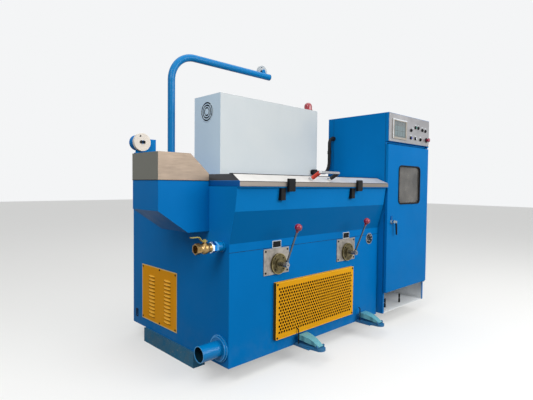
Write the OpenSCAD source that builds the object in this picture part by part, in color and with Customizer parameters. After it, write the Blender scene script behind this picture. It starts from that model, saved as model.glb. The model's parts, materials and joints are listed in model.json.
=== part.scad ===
// Wire drawing machine: closed housing with a lidded drawing trough, entry box, guide arm,
// fan enclosure and electrical cabinet. X runs along the machine, -Y is the operator's side, +Z is up.
// The origin is the middle of the left skid's bottom face.

/* [Housing] */
// Length of the housing along X
body_l = 1770; // [1500:10:2200]
// Depth of the housing along Y
body_d = 1325; // [1150:5:1600]
// Height of the housing's underside above the floor
clearance_h = 112; // [90:1:140]
// Height of the vertical front face's upper edge above the floor
front_h = 928; // [900:1:980]
// Height at which the outward slope of the trough ends
slope_h = 1142; // [1100:1:1180]
// Height of the trough's rim above the floor
rim_h = 1303; // [1270:1:1340]
// How far the slope carries the trough out over the front face
slope_out = 55; // [30:1:80]
// How far the rim stands out in front of the front face
rim_out = 76; // [60:1:95]
// Thickness of the housing's steel plate
plate_t = 6; // [4:0.5:10]
// Height of the front panel's upper edge above the floor
front_panel_h = 869; // [840:1:890]
// Height of the seam above the front panel
seam_w = 3; // [2:0.5:5]
// Depth of the seam above the front panel
seam_d = 4; // [2:0.5:8]
// Depth of the trough from the front face to the rear housing
trough_d = 440; // [400:5:470]
// Width of the flat flange along the trough's front rim
rim_flange = 20; // [14:1:22]

/* [Skids] */
// Width of each skid beam
skid_w = 100; // [80:1:140]
// Length of the two skid beams under the housing
skid_l = 724; // [600:2:900]
// Distance from the front face to the skids' front ends
skid_y = 377; // [250:1:450]
// How far the left skid stands out of the end face
skid_proud = 18; // [0:1:30]
// Length of the skid beam under the cabinet
cabinet_skid_l = 320; // [200:5:400]

/* [Lid] */
// Height of the lid's front lip
lip_h = 33; // [25:1:45]
// Distance of the lip's face in front of the front face
lip_out = 100; // [98:1:120]
// Height of the lid's flat top above the lip
lid_rise = 46; // [30:1:60]
// Width of the slope along the lid's front, to the flat top
lid_slope = 100; // [70:1:130]
// How far the lid's ends lean in from the lip to the top
lid_end_lean = 26; // [10:1:40]
// Thickness of the lid's stainless sheet
lid_t = 3; // [2:0.5:4]
// Radius of the lid's hinge barrels
hinge_r = 7; // [6:0.5:8]
// Length of one lid hinge
hinge_l = 90; // [60:5:120]
// Distance of the outer lid hinges from the lid's ends
hinge_inset = 180; // [120:10:300]
// Width of the lid handle between its legs
handle_w = 222; // [160:1:280]
// Length of the lid handle's legs
handle_leg = 108; // [80:1:130]
// Angle of the lid handle's legs above the horizontal
handle_angle = 30; // [10:1:50]
// Radius of the lid handle's steel bar
handle_r = 10; // [7:0.5:12]
// Radius of the sleeves on the lid handle's legs
grip_r = 15; // [13:0.5:17]
// Distance of the left latch's middle from the housing's left end
latch_left_x = 430; // [300:5:600]
// Distance of the right latch's middle from the housing's right end
latch_right_x = 508; // [400:5:700]
// Width of each catch on the lid's lip
catch_w = 64; // [50:1:90]
// How far each catch stands up above the lip
catch_up = 22; // [4:1:30]
// How far each catch hangs below the lip
catch_down = 36; // [20:1:45]
// Width of each latch block
latch_w = 44; // [36:1:50]
// Height of each latch block
latch_h = 94; // [70:1:110]
// Thickness of each latch block
latch_t = 22; // [15:1:30]
// Thickness of each catch on the lid's lip
catch_t = 22; // [15:1:30]

/* [Entry box] */
// Length of the entry box along X
entry_l = 387; // [300:1:450]
// Depth of the entry box along Y
entry_d = 335; // [250:1:400]
// Distance from the front face to the entry box
entry_y = 218; // [150:1:300]
// Height of the entry box's upper edge above the floor
entry_h = 1340; // [1310:1:1360]
// Height of its outer lower edge above the floor
entry_low_h = 1145; // [1100:1:1200]
// Height of its underside above the floor
entry_bottom_h = 997; // [980:1:1050]
// Length of its flat underside
entry_flat_l = 170; // [100:1:250]
// Height of the stainless cover
cover_h = 175; // [120:1:220]
// Length of the cover's slanted end along X
cover_slant_l = 147; // [80:1:200]
// Drop of the cover's slanted end
cover_slant_h = 128; // [60:1:130]

/* [Guide sheaves] */
// Outer radius of the guide sheaves
sheave_r = 59; // [45:1:75]
// Width of the guide sheaves
sheave_w = 24; // [18:1:30]
// Radius of the sheaves' axles
axle_r = 8; // [6:0.5:12]
// Running clearance of a sheave on its axle, radial
axle_gap = 0.05; // [0.02:0.01:0.1]
// Distance of the entry sheave's axle from the entry box's outer end
entry_sheave_x = 40; // [34:1:90]
// Height of the entry sheave's axle above the cover
entry_sheave_h = 76; // [66:1:100]
// Distance of the bracket plate from the entry box's outer end
bracket_x = 8; // [0:1:34]
// Length of the entry sheave's bracket plate
bracket_l = 148; // [100:1:180]
// Height of the entry sheave's bracket plate
bracket_h = 102; // [90:1:140]
// Radius of the bearing housing behind the bracket plate
bearing_r = 52; // [30:1:60]
// Length of the bearing housing behind the bracket plate
bearing_l = 50; // [20:1:70]

/* [Guide arm] */
// Radius of the guide arm's pipe
arm_r = 30; // [25:1:45]
// Distance of the arm's upright from the housing's left end
arm_x = 134; // [90:1:180]
// Distance of the arm's upright from the front face
arm_y = 930; // [900:5:1100]
// Height of the arm's horizontal run above the floor
arm_h = 2380; // [2200:5:2600]
// Reach of the arm from its upright
arm_reach = 1105; // [800:5:1300]
// Bend radius of the arm
arm_bend = 220; // [150:5:300]
// Radius of the arm's foot flange
arm_foot_r = 85; // [70:1:110]
// Thickness of the arm's foot flange
arm_foot_t = 12; // [8:1:20]

/* [Fan enclosure] */
// Distance of the enclosure from the housing's left end
fan_x = 306; // [250:1:400]
// Distance of the enclosure from the housing's right end
fan_end = 296; // [220:1:400]
// Distance of the enclosure from the front face
fan_y = 500; // [490:1:540]
// Depth of the enclosure
fan_d = 350; // [300:1:360]
// Height of the enclosure
fan_h = 722; // [600:1:850]
// Radius of the round vent in the enclosure's end
fan_vent_r = 82; // [60:1:100]
// Distance of the vent's middle below the enclosure's roof
fan_vent_drop = 129; // [100:1:200]
// Depth of the round duct behind the vent
duct_l = 70; // [40:1:120]
// Radius of the warning beacon
beacon_r = 38; // [30:1:50]
// Height of the warning beacon
beacon_h = 84; // [70:1:110]

/* [Cabinet] */
// Gap between the housing and the cabinet
cabinet_gap = 12; // [11:1:20]
// Width of the cabinet
cabinet_w = 800; // [600:5:1000]
// Depth of the cabinet's carcass
cabinet_d = 660; // [500:5:800]
// Distance of the carcass's front edge in front of the housing's front face
cabinet_out = 60; // [40:1:90]
// Height of the cabinet's underside above the floor
cabinet_low_h = 124; // [114:1:160]
// Height of the cabinet's roof above the floor
cabinet_h = 1991; // [1900:1:2200]
// Thickness of the cabinet's sheet
cabinet_t = 4; // [2:0.5:6]
// Height of the cable tray's walls in the cabinet's bottom
tray_h = 192; // [100:1:200]
// Width of the carcass's front returns
return_w = 24; // [18:1:28]
// Height of the control panel
panel_h = 263; // [220:1:300]
// How far the control panel and the door stand out of the carcass
panel_out = 30; // [28:1:40]
// Height of the door's lower edge above the floor
door_low_h = 324; // [250:1:400]
// Gap between the door and the control panel
door_top_gap = 26; // [20:1:40]
// Thickness of the door
door_t = 24; // [20:1:24]
// Width of the door's window
window_w = 420; // [300:5:500]
// Height of the door's window
window_h = 362; // [250:2:500]
// Distance of the window's left side from the door's left side
window_x = 197; // [120:1:220]
// Distance of the window's upper edge below the door's upper edge
window_drop = 194; // [120:1:260]
// Corner radius of the window
window_r = 44; // [20:1:60]
// Width of the window's rubber gasket
gasket_w = 13; // [10:1:20]
// Distance of the door lock from the door's left side
lock_x = 74; // [50:1:90]
// Distance of the door lock below the door's middle
lock_drop = 29; // [0:1:60]
// Length of the door handle's lever
lever_l = 118; // [90:1:140]
// Reach of the door handle's crank from its spindle to its lever
crank_l = 36; // [30:1:50]
// Width of the touch screen's bezel
screen_w = 259; // [200:1:280]
// Height of the touch screen's bezel
screen_h = 184; // [140:1:200]
// Radius of the push buttons' rings
button_r = 16; // [14:0.5:20]

/* [Guards] */
// Length of the perforated guard
guard_l = 940; // [700:5:1100]
// Height of the perforated guard
guard_h = 412; // [300:2:440]
// Distance of the guard from the housing's left end
guard_x = 407; // [300:1:500]
// Height of the guard's lower edge above the floor
guard_z = 206; // [180:1:240]
// How far the guard stands out of the front panel
guard_out = 28; // [20:1:35]
// Thickness of the guard's sheet
guard_t = 3; // [2:0.5:4]
// Radius of the guard's holes
guard_hole_r = 5.5; // [4:0.25:8]
// Distance from one of the guard's holes to the next
guard_pitch = 26; // [22:0.5:36]
// Width of the guard's margin without holes
guard_margin = 26; // [20:1:60]
// Width of the louvred panel in the end face
louvre_panel_w = 538; // [480:2:600]
// Height of the louvred panel
louvre_panel_h = 456; // [420:2:520]
// Distance of the louvred panel from the front face
louvre_panel_y = 622; // [560:1:680]
// Height of the louvred panel's lower edge above the floor
louvre_panel_z = 186; // [150:1:220]
// Thickness of the louvred panel
louvre_panel_t = 3; // [2:0.5:4]
// Length of one louvre
louvre_l = 96; // [70:1:110]
// Distance from one louvre to the next
louvre_pitch = 38; // [30:1:40]
// How far a louvre stands out of its panel
louvre_out = 12; // [8:1:16]

/* [Gear levers] */
// Distance of the left lever's shaft from the housing's left end
lever_left_x = 444; // [400:1:500]
// Distance of the right lever's shaft from the housing's left end
lever_right_x = 1281; // [1200:1:1400]
// Height of the lever shafts above the floor
lever_z = 752; // [740:1:760]
// Width of each lever's mounting plate
lever_plate_w = 253; // [180:1:280]
// Height of each lever's mounting plate
lever_plate_h = 186; // [170:1:190]
// Radius of each lever's bronze flange
lever_flange_r = 75; // [60:1:80]
// Thickness of each lever's bronze flange
lever_flange_t = 14; // [10:1:20]
// Radius of each lever's shaft
lever_shaft_r = 17; // [12:0.5:20]
// Length of each lever's shaft out of its flange
lever_shaft_l = 84; // [60:1:100]
// Length of each lever's rod
lever_rod_l = 285; // [220:1:320]
// Radius of each lever's rod
lever_rod_r = 7; // [5:0.5:9]
// Lean of each lever's rod out towards the operator
lever_lean = 22; // [10:1:30]
// Radius of each lever's ball knob
knob_r = 26; // [20:1:30]

/* [Pipes] */
// Outer radius of the drain pipe
drain_r = 54; // [40:1:60]
// Bore radius of the drain pipe
drain_bore_r = 50; // [36:1:52]
// Length of the drain pipe out of the end face
drain_l = 169; // [120:1:220]
// Radius of the drain pipe's flange
drain_flange_r = 90; // [80:1:95]
// Thickness of each of the two flange rings
drain_flange_t = 10; // [6:1:14]
// Distance of the drain pipe from the front face
drain_y = 92; // [91:1:120]
// Height of the drain pipe above the floor
drain_z = 226; // [205:1:260]
// Distance of the ball valve from the front face
valve_y = 66; // [50:1:90]
// Height of the ball valve above the floor
valve_z = 910; // [880:1:915]
// Radius of the valve's pipe nipple
nipple_r = 30; // [24:1:32]
// Length of the valve's pipe nipple
nipple_l = 70; // [50:1:90]
// Length of the valve's body
valve_l = 146; // [110:1:160]
// Bore radius of the valve's mouth
valve_bore_r = 26; // [20:1:28]
// Radius of the valve's hexagons over their corners
valve_hex_r = 37; // [34:1:40]
// Length of the valve's flat handle
valve_handle_l = 104; // [80:1:120]

/* [Pedals] */
// Distance of the left pedal's middle from the housing's left end
pedal_left_x = 690; // [600:5:750]
// Distance of the right pedal's middle from the housing's left end
pedal_right_x = 1496; // [1400:5:1600]
// Width of each pedal's base
pedal_w = 130; // [110:1:150]
// Length of each pedal's base
pedal_l = 212; // [180:1:240]
// Thickness of each pedal's shelf
shelf_t = 8; // [6:1:10]
// Width of each treadle at its toe end
treadle_w = 98; // [80:1:105]
// Height of each treadle's toe end above its pin
treadle_h = 52; // [46:1:56]
// How far each treadle's back arches over the straight line from heel to toe
treadle_arch = 12; // [6:1:16]

/* [Conduit] */
// Radius of the conduit
conduit_r = 16; // [12:0.5:18]
// Height of the conduit's upper gland above the trough's rim
conduit_rise = 487; // [400:1:560]
// Distance of the upper gland from the cabinet's back
conduit_inset = 68; // [56:1:80]
// Radius of the conduit's upper bend
upper_bend = 52; // [40:1:60]
// Radius of the conduit's lower bend
lower_bend = 116; // [80:1:140]
// Height of the lower gland above the trough's rim
gland_rise = 137; // [80:1:200]
// Distance of the lower gland from the enclosure's right end
gland_inset = 66; // [50:1:120]
// How far the lower gland carries the conduit in front of the enclosure
gland_out = 36; // [34:1:44]
// Length of the upper gland
gland_l = 20; // [14:1:30]

/* [Hidden] */
$fn = 48;
seat = 0.3;
org_x = skid_w / 2 - skid_proud;
org_y = skid_y + skid_l / 2;
blue = "#0a6bb0";
shade_blue = "#0f5a9a";
panel_steel = "#c8ccd0";
black = "#1c1d20";
lip_low = rim_h + 2;
lid_top = lip_low + lip_h + lid_rise;
lid_back = trough_d - 13;
hinge_y = lid_back + hinge_r + 1;
hinge_z = lid_top - hinge_r - 4;
rail_y = hinge_y + hinge_r + 1;
pin_r = 3.5;
pin_gap = 0.05;
lid_hinge_xs = [hinge_inset, body_l / 2, body_l - hinge_inset];
latch_xs = [latch_left_x, body_l - latch_right_x];
cover_end = 6;
cabinet_x = body_l + cabinet_gap;
cabinet_front = -cabinet_out;
cabinet_skid_x = cabinet_x + cabinet_w - 2 * skid_w;
cross_y = skid_y + 10;
door_gap = 4;
door_w = cabinet_w - door_gap;
door_high_h = cabinet_h - panel_h - door_top_gap;
door_back = cabinet_front - door_gap;
door_front = door_back - door_t;
door_x = cabinet_x + door_gap / 2;
door_hinge_x = door_x + door_w - 6;
door_hinge_y = door_back - 8;
door_pin_r = 4;
door_pin_l = 14;
panel_low = cabinet_h - panel_h;
panel_front = cabinet_front - panel_out;
panel_plate_t = 3;
louvre_count = floor((louvre_panel_h - 70) / louvre_pitch);
lever_xs = [lever_left_x, lever_right_x];
pedal_xs = [pedal_left_x, pedal_right_x];
lever_plate_z = lever_z - lever_flange_r + 2;
lever_plate_t = 6;
pedal_z = clearance_h + shelf_t;
pedal_base_t = 12;
cable_r = 4;

module placed() {
    translate([-org_x, -org_y, 0]) children();
}

module along_x(x0, x1) {
    translate([x0, 0, 0]) rotate([90, 0, 90]) linear_extrude(x1 - x0) children();
}

module along_y(y0, y1) {
    translate([0, y1, 0]) rotate([90, 0, 0]) linear_extrude(y1 - y0) children();
}

module rod_x(x0, x1, y, z, r) {
    translate([x0, y, z]) rotate([0, 90, 0]) cylinder(h = x1 - x0, r = r);
}

module rod_y(x, y0, y1, z, r) {
    translate([x, y0, z]) rotate([-90, 0, 0]) cylinder(h = y1 - y0, r = r);
}

module block(low, high) {
    translate(low) cube(high - low);
}

module rounded(w, h, r) {
    union() {
        translate([r, 0]) square([w - 2 * r, h]);
        translate([0, r]) square([w, h - 2 * r]);
        for (x = [r, w - r], y = [r, h - r]) translate([x, y]) circle(r = r);
    }
}

// Beam lying along Y, with its ends capped
module skid(x, y, l, h) {
    block([x, y, 0], [x + skid_w, y + l, h]);
}

// Two skids under the housing, one under the cabinet, and the beam that joins the last two
module skids() {
    color(shade_blue) placed() {
        skid(-skid_proud, skid_y, skid_l, clearance_h);
        skid(body_l - skid_w, skid_y, skid_l, clearance_h);
        skid(cabinet_skid_x, cabinet_d - cabinet_out - cabinet_skid_l - skid_w / 2,
            cabinet_skid_l, cabinet_low_h);
        block([body_l - 1, cross_y, 0], [cabinet_skid_x + 1, cross_y + skid_w, clearance_h - 2]);
    }
}

// Lower part of the housing, with the front panel's seam and the hand slot low in its end face
module lower_housing() {
    slot_y = body_d - 67;
    slot_z = clearance_h + 92;
    color(blue) placed() difference() {
        block([0, 0, clearance_h], [body_l, body_d, front_h]);
        block([-1, -1, front_panel_h], [body_l + 1, seam_d, front_panel_h + seam_w]);
        rod_x(-1, 24, slot_y, slot_z - 16, 11);
        rod_x(-1, 24, slot_y, slot_z + 16, 11);
        block([-1, slot_y - 11, slot_z - 16], [24, slot_y + 11, slot_z + 16]);
    }
}

module trough_end_profile() {
    polygon([[0, front_h], [-slope_out, slope_h], [-rim_out, rim_h], [trough_d, rim_h],
        [trough_d, front_h]]);
}

// Front wall of the trough with its slope, leaning face and rim flange, and the trough's two ends
module trough() {
    t = plate_t;
    color(blue) placed() {
        along_x(0, body_l) polygon([
            [0, front_h], [-slope_out, slope_h], [-rim_out, rim_h - t], [-rim_out - rim_flange, rim_h - t],
            [-rim_out - rim_flange, rim_h], [-rim_out + t, rim_h],
            [-slope_out + t, slope_h + t * 0.3], [t, front_h + t * 0.3], [t, front_h]
        ]);
        along_x(0, t) trough_end_profile();
        along_x(body_l - t, body_l) trough_end_profile();
    }
}

// Fixed half of one lid hinge: the middle barrel on a lug from the rail
module fixed_knuckle(x) {
    third = hinge_l / 3;
    difference() {
        union() {
            rod_x(x - third / 2 + 0.5, x + third / 2 - 0.5, hinge_y, hinge_z, hinge_r);
            block([x - third / 2 + 0.5, hinge_y, hinge_z - hinge_r],
                [x + third / 2 - 0.5, rail_y + 1, hinge_z]);
        }
        rod_x(x - hinge_l, x + hinge_l, hinge_y, hinge_z, pin_r + pin_gap);
    }
}

// Rear part of the housing, with the rail that carries the lid
module rear_housing() {
    color(blue) placed() {
        block([0, trough_d, front_h], [body_l, body_d, rim_h]);
        block([0, rail_y, rim_h], [body_l, rail_y + plate_t, hinge_z]);
        for (x = lid_hinge_xs) fixed_knuckle(x);
    }
}

// Bolted covers over the back of the housing, each with a row of louvres
module back_covers() {
    w = body_l / 2 - 60;
    h = front_h - clearance_h - 120;
    color(shade_blue) placed() for (x = [40, body_l / 2 + 20]) {
        block([x, body_d, clearance_h + 60], [x + w, body_d + louvre_panel_t, clearance_h + 60 + h]);
        for (i = [0 : 5])
            translate([x + w / 2, body_d + louvre_panel_t, clearance_h + 140 + i * louvre_pitch])
                rotate([0, 0, 180]) louvre(w / 2);
    }
}

// One pressed louvre, l long along X and centred there, hood outwards to -Y
module louvre(l) {
    translate([-l / 2, 0, 0]) rotate([90, 0, 90]) linear_extrude(l) difference() {
        union() {
            circle(r = louvre_out);
            translate([-louvre_out, -louvre_out / 2]) square([louvre_out, louvre_out / 2]);
        }
        circle(r = louvre_out - 2);
        translate([0, -2 * louvre_out]) square([2 * louvre_out, 4 * louvre_out]);
        translate([-2 * louvre_out, -2 * louvre_out]) square([4 * louvre_out, 1.5 * louvre_out]);
        translate([-louvre_out + 2, -louvre_out]) square([louvre_out, louvre_out]);
    }
}

// Outer form of the lid, shrunk by t for its inside
module lid_form(t) {
    intersection() {
        along_x(t, body_l - t) polygon([
            [-lip_out + t, lip_low - 1 + (t > 0 ? 0 : 1)], [-lip_out + t, lip_low + lip_h],
            [-lip_out + lid_slope + t * 0.3, lid_top - t], [lid_back - t, lid_top - t],
            [lid_back - t, lip_low - 1 + (t > 0 ? 0 : 1)]
        ]);
        along_y(-lip_out - 1, lid_back + 1) polygon([
            [t, lip_low - 1], [t, lip_low + lip_h], [lid_end_lean + t, lid_top - t],
            [body_l - lid_end_lean - t, lid_top - t], [body_l - t, lip_low + lip_h],
            [body_l - t, lip_low - 1]
        ]);
    }
}

// Moving half of one lid hinge: the outer barrels, their lugs to the lid and the pin
module moving_knuckle(x) {
    third = hinge_l / 3;
    for (s = [-third, third]) {
        rod_x(x + s - third / 2 + 0.5, x + s + third / 2 - 0.5, hinge_y, hinge_z, hinge_r);
        block([x + s - third / 2 + 0.5, lid_back - 1, hinge_z - hinge_r],
            [x + s + third / 2 - 0.5, hinge_y, hinge_z]);
    }
    rod_x(x - hinge_l / 2 + 1, x + hinge_l / 2 - 1, hinge_y, hinge_z, pin_r);
}

module lid() {
    color(panel_steel) placed() {
        difference() {
            lid_form(0);
            lid_form(lid_t);
        }
        for (x = lid_hinge_xs) moving_knuckle(x);
    }
}

// Places its children on the lid's slope at x, with Z at the given angle from the upright
module on_lid_slope(x, angle) {
    foot_y = -lip_out + lid_slope * 0.42;
    foot_z = lip_low + lip_h + lid_rise * 0.42;
    translate([x, foot_y, foot_z]) rotate([angle, 0, 0]) children();
}

handle_mid = body_l / 2 - 48;
handle_xs = [handle_mid - handle_w / 2, handle_mid + handle_w / 2];
leg_turn = 90 - handle_angle;

// U-shaped bar, each leg welded into a round foot that stands square on the slope
module lid_handle_bar() {
    slope_turn = atan2(lid_rise, lid_slope);
    foot_t = 10;
    color("silver") placed() {
        for (x = handle_xs) {
            on_lid_slope(x, slope_turn) translate([0, 0, seat]) cylinder(h = foot_t, r = handle_r + 6);
            on_lid_slope(x, leg_turn) translate([0, 0, foot_t * 0.65])
                cylinder(h = handle_leg - foot_t * 0.65, r = handle_r);
            on_lid_slope(x, leg_turn) translate([0, 0, handle_leg]) sphere(r = handle_r);
        }
        on_lid_slope(handle_xs[0], leg_turn) translate([0, 0, handle_leg]) rotate([0, 90, 0])
            cylinder(h = handle_w, r = handle_r);
    }
}

module lid_grips() {
    start = 26;
    color("crimson") placed() for (x = handle_xs)
        on_lid_slope(x, leg_turn) translate([0, 0, start]) difference() {
            cylinder(h = handle_leg - 10 - start, r = grip_r);
            translate([0, 0, -1]) cylinder(h = handle_leg, r = handle_r + 0.2);
        }
}

// Black catch bolted to the lid's lip, standing up past the foot of the slope
module lid_catches() {
    t = catch_t;
    low = lip_low - catch_down;
    high = lip_low + lip_h + catch_up;
    color(black) placed() for (x = latch_xs) along_x(x, x + catch_w) polygon([
        [-lip_out - seat, low], [-lip_out - seat, high], [-lip_out - t + 5, high],
        [-lip_out - t, high - 5], [-lip_out - t, low + 6], [-lip_out - t + 6, low]]);
}

// Black keeper block on the trough's upper face, below and beside the catch
module latch_blocks() {
    lean = rim_out - slope_out;
    color(black) placed() for (x = latch_xs) along_x(x - 6 - latch_w, x - 6) polygon([
        [-rim_out - 0.5, rim_h - plate_t - 4], [-rim_out - latch_t + 4, rim_h - plate_t - 4],
        [-rim_out - latch_t + 4, rim_h - latch_h], [-rim_out + lean * (latch_h / (rim_h - slope_h)) - 0.5,
        rim_h - latch_h]]);
}

module entry_box() {
    color(blue) placed() along_y(entry_y, entry_y + entry_d) polygon([
        [-entry_l, entry_h], [-entry_l, entry_low_h], [-entry_flat_l, entry_bottom_h],
        [0, entry_bottom_h], [0, rim_h], [-cover_end, rim_h], [-cover_end, entry_h]]);
}

module entry_cover() {
    top = entry_h + cover_h;
    color(panel_steel) placed() along_y(entry_y - 2, entry_y + entry_d + 2) polygon([
        [-entry_l - 2, entry_h], [-entry_l - 2, top], [-cover_end - cover_slant_l, top],
        [-cover_end, top - cover_slant_h], [-cover_end, entry_h]]);
}

sheave_y = entry_y + entry_d - 60;
sheave_x = -entry_l + entry_sheave_x;
sheave_z = entry_h + cover_h + entry_sheave_h;

module sheave_body(x, y, z) {
    groove = sheave_w * 0.36;
    difference() {
        rod_y(x, y, y + sheave_w, z, sheave_r);
        translate([x, y + sheave_w / 2, z]) rotate([90, 0, 0]) rotate_extrude() translate([sheave_r, 0])
            polygon([[-groove, -1.5], [-groove, 1.5], [1, groove], [1, -groove]]);
        rod_y(x, y - 1, y + sheave_w + 1, z, axle_r + axle_gap);
        rod_y(x - sheave_r * 0.24, y - 1, y + sheave_w + 1, z + sheave_r * 0.66, sheave_r * 0.12);
    }
}

// Upright plate with a foot, carrying the entry sheave's axle in front and its bearing behind
module entry_sheave_bracket() {
    t = 6;
    foot = entry_h + cover_h;
    py = sheave_y + sheave_w + 8;
    x0 = -entry_l + bracket_x;
    color(shade_blue) placed() {
        block([x0, py, foot], [x0 + bracket_l, py + t, foot + bracket_h]);
        rod_y(sheave_x, py + t - 1, py + t + bearing_l, sheave_z, bearing_r);
        block([x0, py, foot], [x0 + bracket_l, entry_y + entry_d, foot + t]);
        rod_y(sheave_x, sheave_y - 4, py + 1, sheave_z, axle_r);
        rod_y(sheave_x, sheave_y + sheave_w + 1, py + 1, sheave_z, axle_r + 6);
        rod_y(sheave_x, sheave_y - 5, sheave_y - 0.6, sheave_z, axle_r + 3);
    }
}

module entry_sheave() {
    color("gainsboro") placed() sheave_body(sheave_x, sheave_y, sheave_z);
}

arm_end = arm_x + arm_reach;
arm_sheave_x = arm_end - 45;
arm_sheave_y = arm_y + arm_r + 16;
arm_sheave_z = arm_h + 56;

// Bent pipe on a round foot flange, with the sheave's side plate and axle at its end
module guide_arm() {
    color("#1c7fc4") placed() {
        translate([arm_x, arm_y, rim_h]) cylinder(h = arm_foot_t, r = arm_foot_r);
        translate([arm_x, arm_y, rim_h + arm_foot_t])
            cylinder(h = arm_h - arm_bend - rim_h - arm_foot_t, r = arm_r);
        translate([arm_x + arm_bend, arm_y, arm_h - arm_bend]) rotate([90, 0, 0])
            rotate_extrude(angle = 90, start = 90) translate([arm_bend, 0]) circle(r = arm_r);
        rod_x(arm_x + arm_bend, arm_end, arm_y, arm_h, arm_r);
        along_y(arm_y + arm_r - 3, arm_y + arm_r + 5) hull() {
            translate([arm_sheave_x, arm_sheave_z]) circle(r = 20);
            translate([arm_end - 24, arm_h]) circle(r = 20);
        }
        rod_y(arm_sheave_x, arm_y + arm_r, arm_sheave_y + sheave_w + 5, arm_sheave_z, axle_r);
        rod_y(arm_sheave_x, arm_y + arm_r, arm_sheave_y - 1, arm_sheave_z, axle_r + 6);
        rod_y(arm_sheave_x, arm_sheave_y + sheave_w + 0.6, arm_sheave_y + sheave_w + 5, arm_sheave_z,
            axle_r + 3);
    }
}

module arm_sheave() {
    color("gainsboro") placed() sheave_body(arm_sheave_x, arm_sheave_y, arm_sheave_z);
}

fan_l = body_l - fan_end - fan_x;
fan_top = rim_h + fan_h;

// Box with the round duct's mouth in its left end
module fan_enclosure() {
    color("#c4ced4") placed() difference() {
        block([fan_x, fan_y, rim_h], [fan_x + fan_l, fan_y + fan_d, fan_top]);
        rod_x(fan_x - 1, fan_x + duct_l, fan_y + fan_d / 2, fan_top - fan_vent_drop, fan_vent_r * 0.94);
    }
}

// Round vent plate with rings of arc slots between four spokes
module fan_vent() {
    t = 3;
    slot = fan_vent_r * 0.07;
    color("#b8c4cc") placed() translate([fan_x - t, fan_y + fan_d / 2, fan_top - fan_vent_drop])
        rotate([90, 0, 90]) linear_extrude(t) difference() {
            circle(r = fan_vent_r);
            for (k = [0.28, 0.48, 0.68, 0.88]) difference() {
                circle(r = fan_vent_r * k + slot / 2);
                circle(r = fan_vent_r * k - slot / 2);
                for (a = [45, 135]) rotate(a) square([2 * fan_vent_r, 10], center = true);
            }
        }
}

module beacon() {
    x = fan_x + fan_l - 56;
    y = fan_y + 70;
    color("#c81e1e") placed() {
        translate([x, y, fan_top]) cylinder(h = 18, r = beacon_r + 4);
        translate([x, y, fan_top + 18]) cylinder(h = beacon_h - 18 - beacon_r, r = beacon_r);
        intersection() {
            translate([x, y, fan_top + beacon_h - beacon_r]) sphere(r = beacon_r);
            translate([x, y, fan_top + 20]) cylinder(h = beacon_h, r = beacon_r + 1);
        }
    }
}

cabinet_back = cabinet_front + cabinet_d;
cabinet_right = cabinet_x + cabinet_w;

// Carcass: sides, back and roof, narrow returns around the open front, and the control panel's box
module cabinet_shell() {
    t = cabinet_t;
    color(blue) placed() difference() {
        union() {
            block([cabinet_x, cabinet_front, cabinet_low_h], [cabinet_right, cabinet_back, cabinet_h]);
            block([cabinet_x, panel_front + panel_plate_t, panel_low],
                [cabinet_right, cabinet_front + 1, cabinet_h]);
        }
        block([cabinet_x + t, cabinet_front + t, cabinet_low_h - 1],
            [cabinet_right - t, cabinet_back - t, cabinet_h - t]);
        block([cabinet_x + return_w, cabinet_front - 1, cabinet_low_h - 1],
            [cabinet_right - return_w, cabinet_front + t + 1, panel_low - 16]);
    }
}

// Zinc-plated tray that closes the cabinet's bottom, open towards the recess under the door
module cabinet_floor() {
    t = cabinet_t;
    s = seat;
    x0 = cabinet_x + t + s;
    x1 = cabinet_right - t - s;
    y1 = cabinet_back - t - s;
    color("#cfd4d6") placed() difference() {
        block([x0, cabinet_front + t + s, cabinet_low_h], [x1, y1, cabinet_low_h + tray_h]);
        block([x0 + 3, cabinet_front - 1, cabinet_low_h + 3], [x1 - 3, y1 - 3, cabinet_low_h + tray_h + 1]);
    }
}

// Zinc-plated plate for the electrical gear, on the carcass's back wall
module mounting_plate() {
    y1 = cabinet_back - cabinet_t;
    low = cabinet_low_h + tray_h + 30;
    color("#c3c9cc") placed() {
        block([cabinet_x + 40, y1 - 28, low], [cabinet_right - 40, y1 - 25, cabinet_h - 90]);
        for (x = [cabinet_x + 80, cabinet_right - 110], z = [low + 50, cabinet_h - 180])
            block([x, y1 - 25, z], [x + 30, y1, z + 30]);
    }
}

module control_panel() {
    m = 3;
    color(panel_steel) placed() block([cabinet_x + m, panel_front, panel_low + m],
        [cabinet_right - m, panel_front + panel_plate_t, cabinet_h - m]);
}

screen_x = cabinet_x + 61;
screen_z = panel_low + 29;

module screen_bezel() {
    m = 22;
    color(black) placed() along_y(panel_front - 8, panel_front) difference() {
        translate([screen_x, screen_z]) rounded(screen_w, screen_h, 6);
        translate([screen_x + m, screen_z + m * 0.8]) square([screen_w - 2 * m, screen_h - 1.6 * m]);
    }
}

module screen_glass() {
    m = 22;
    color("#9fb4c0") placed() block([screen_x + m + seat, panel_front - 4, screen_z + m * 0.8 + seat],
        [screen_x + screen_w - m - seat, panel_front, screen_z + screen_h - m * 0.8 - seat]);
}

// Places of the push buttons: share of the panel's width beside the screen, and of the panel's height
button_spots = [[0.2, 0.51], [0.381, 0.64], [0.5, 0.64], [0.681, 0.593], [0.819, 0.578], [0.192, 0.228],
    [0.385, 0.228], [0.602, 0.217]];
stop_spot = [0.875, 0.236];

module at_panel(spot, y) {
    beside = screen_x + screen_w;
    translate([beside + spot[0] * (cabinet_right - beside), y, panel_low + spot[1] * panel_h])
        rotate([90, 0, 0]) children();
}

// Push buttons and selector heads, each in its ring
module push_buttons() {
    color(black) placed() {
        for (p = button_spots) at_panel(p, panel_front) {
            cylinder(h = 5, r = button_r);
            cylinder(h = 9, r = button_r - 4);
            translate([0, 0, 9]) cylinder(h = 3, r1 = button_r - 4, r2 = button_r - 6);
        }
        at_panel(stop_spot, panel_front) cylinder(h = 5, r = button_r + 8);
    }
}

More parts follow.
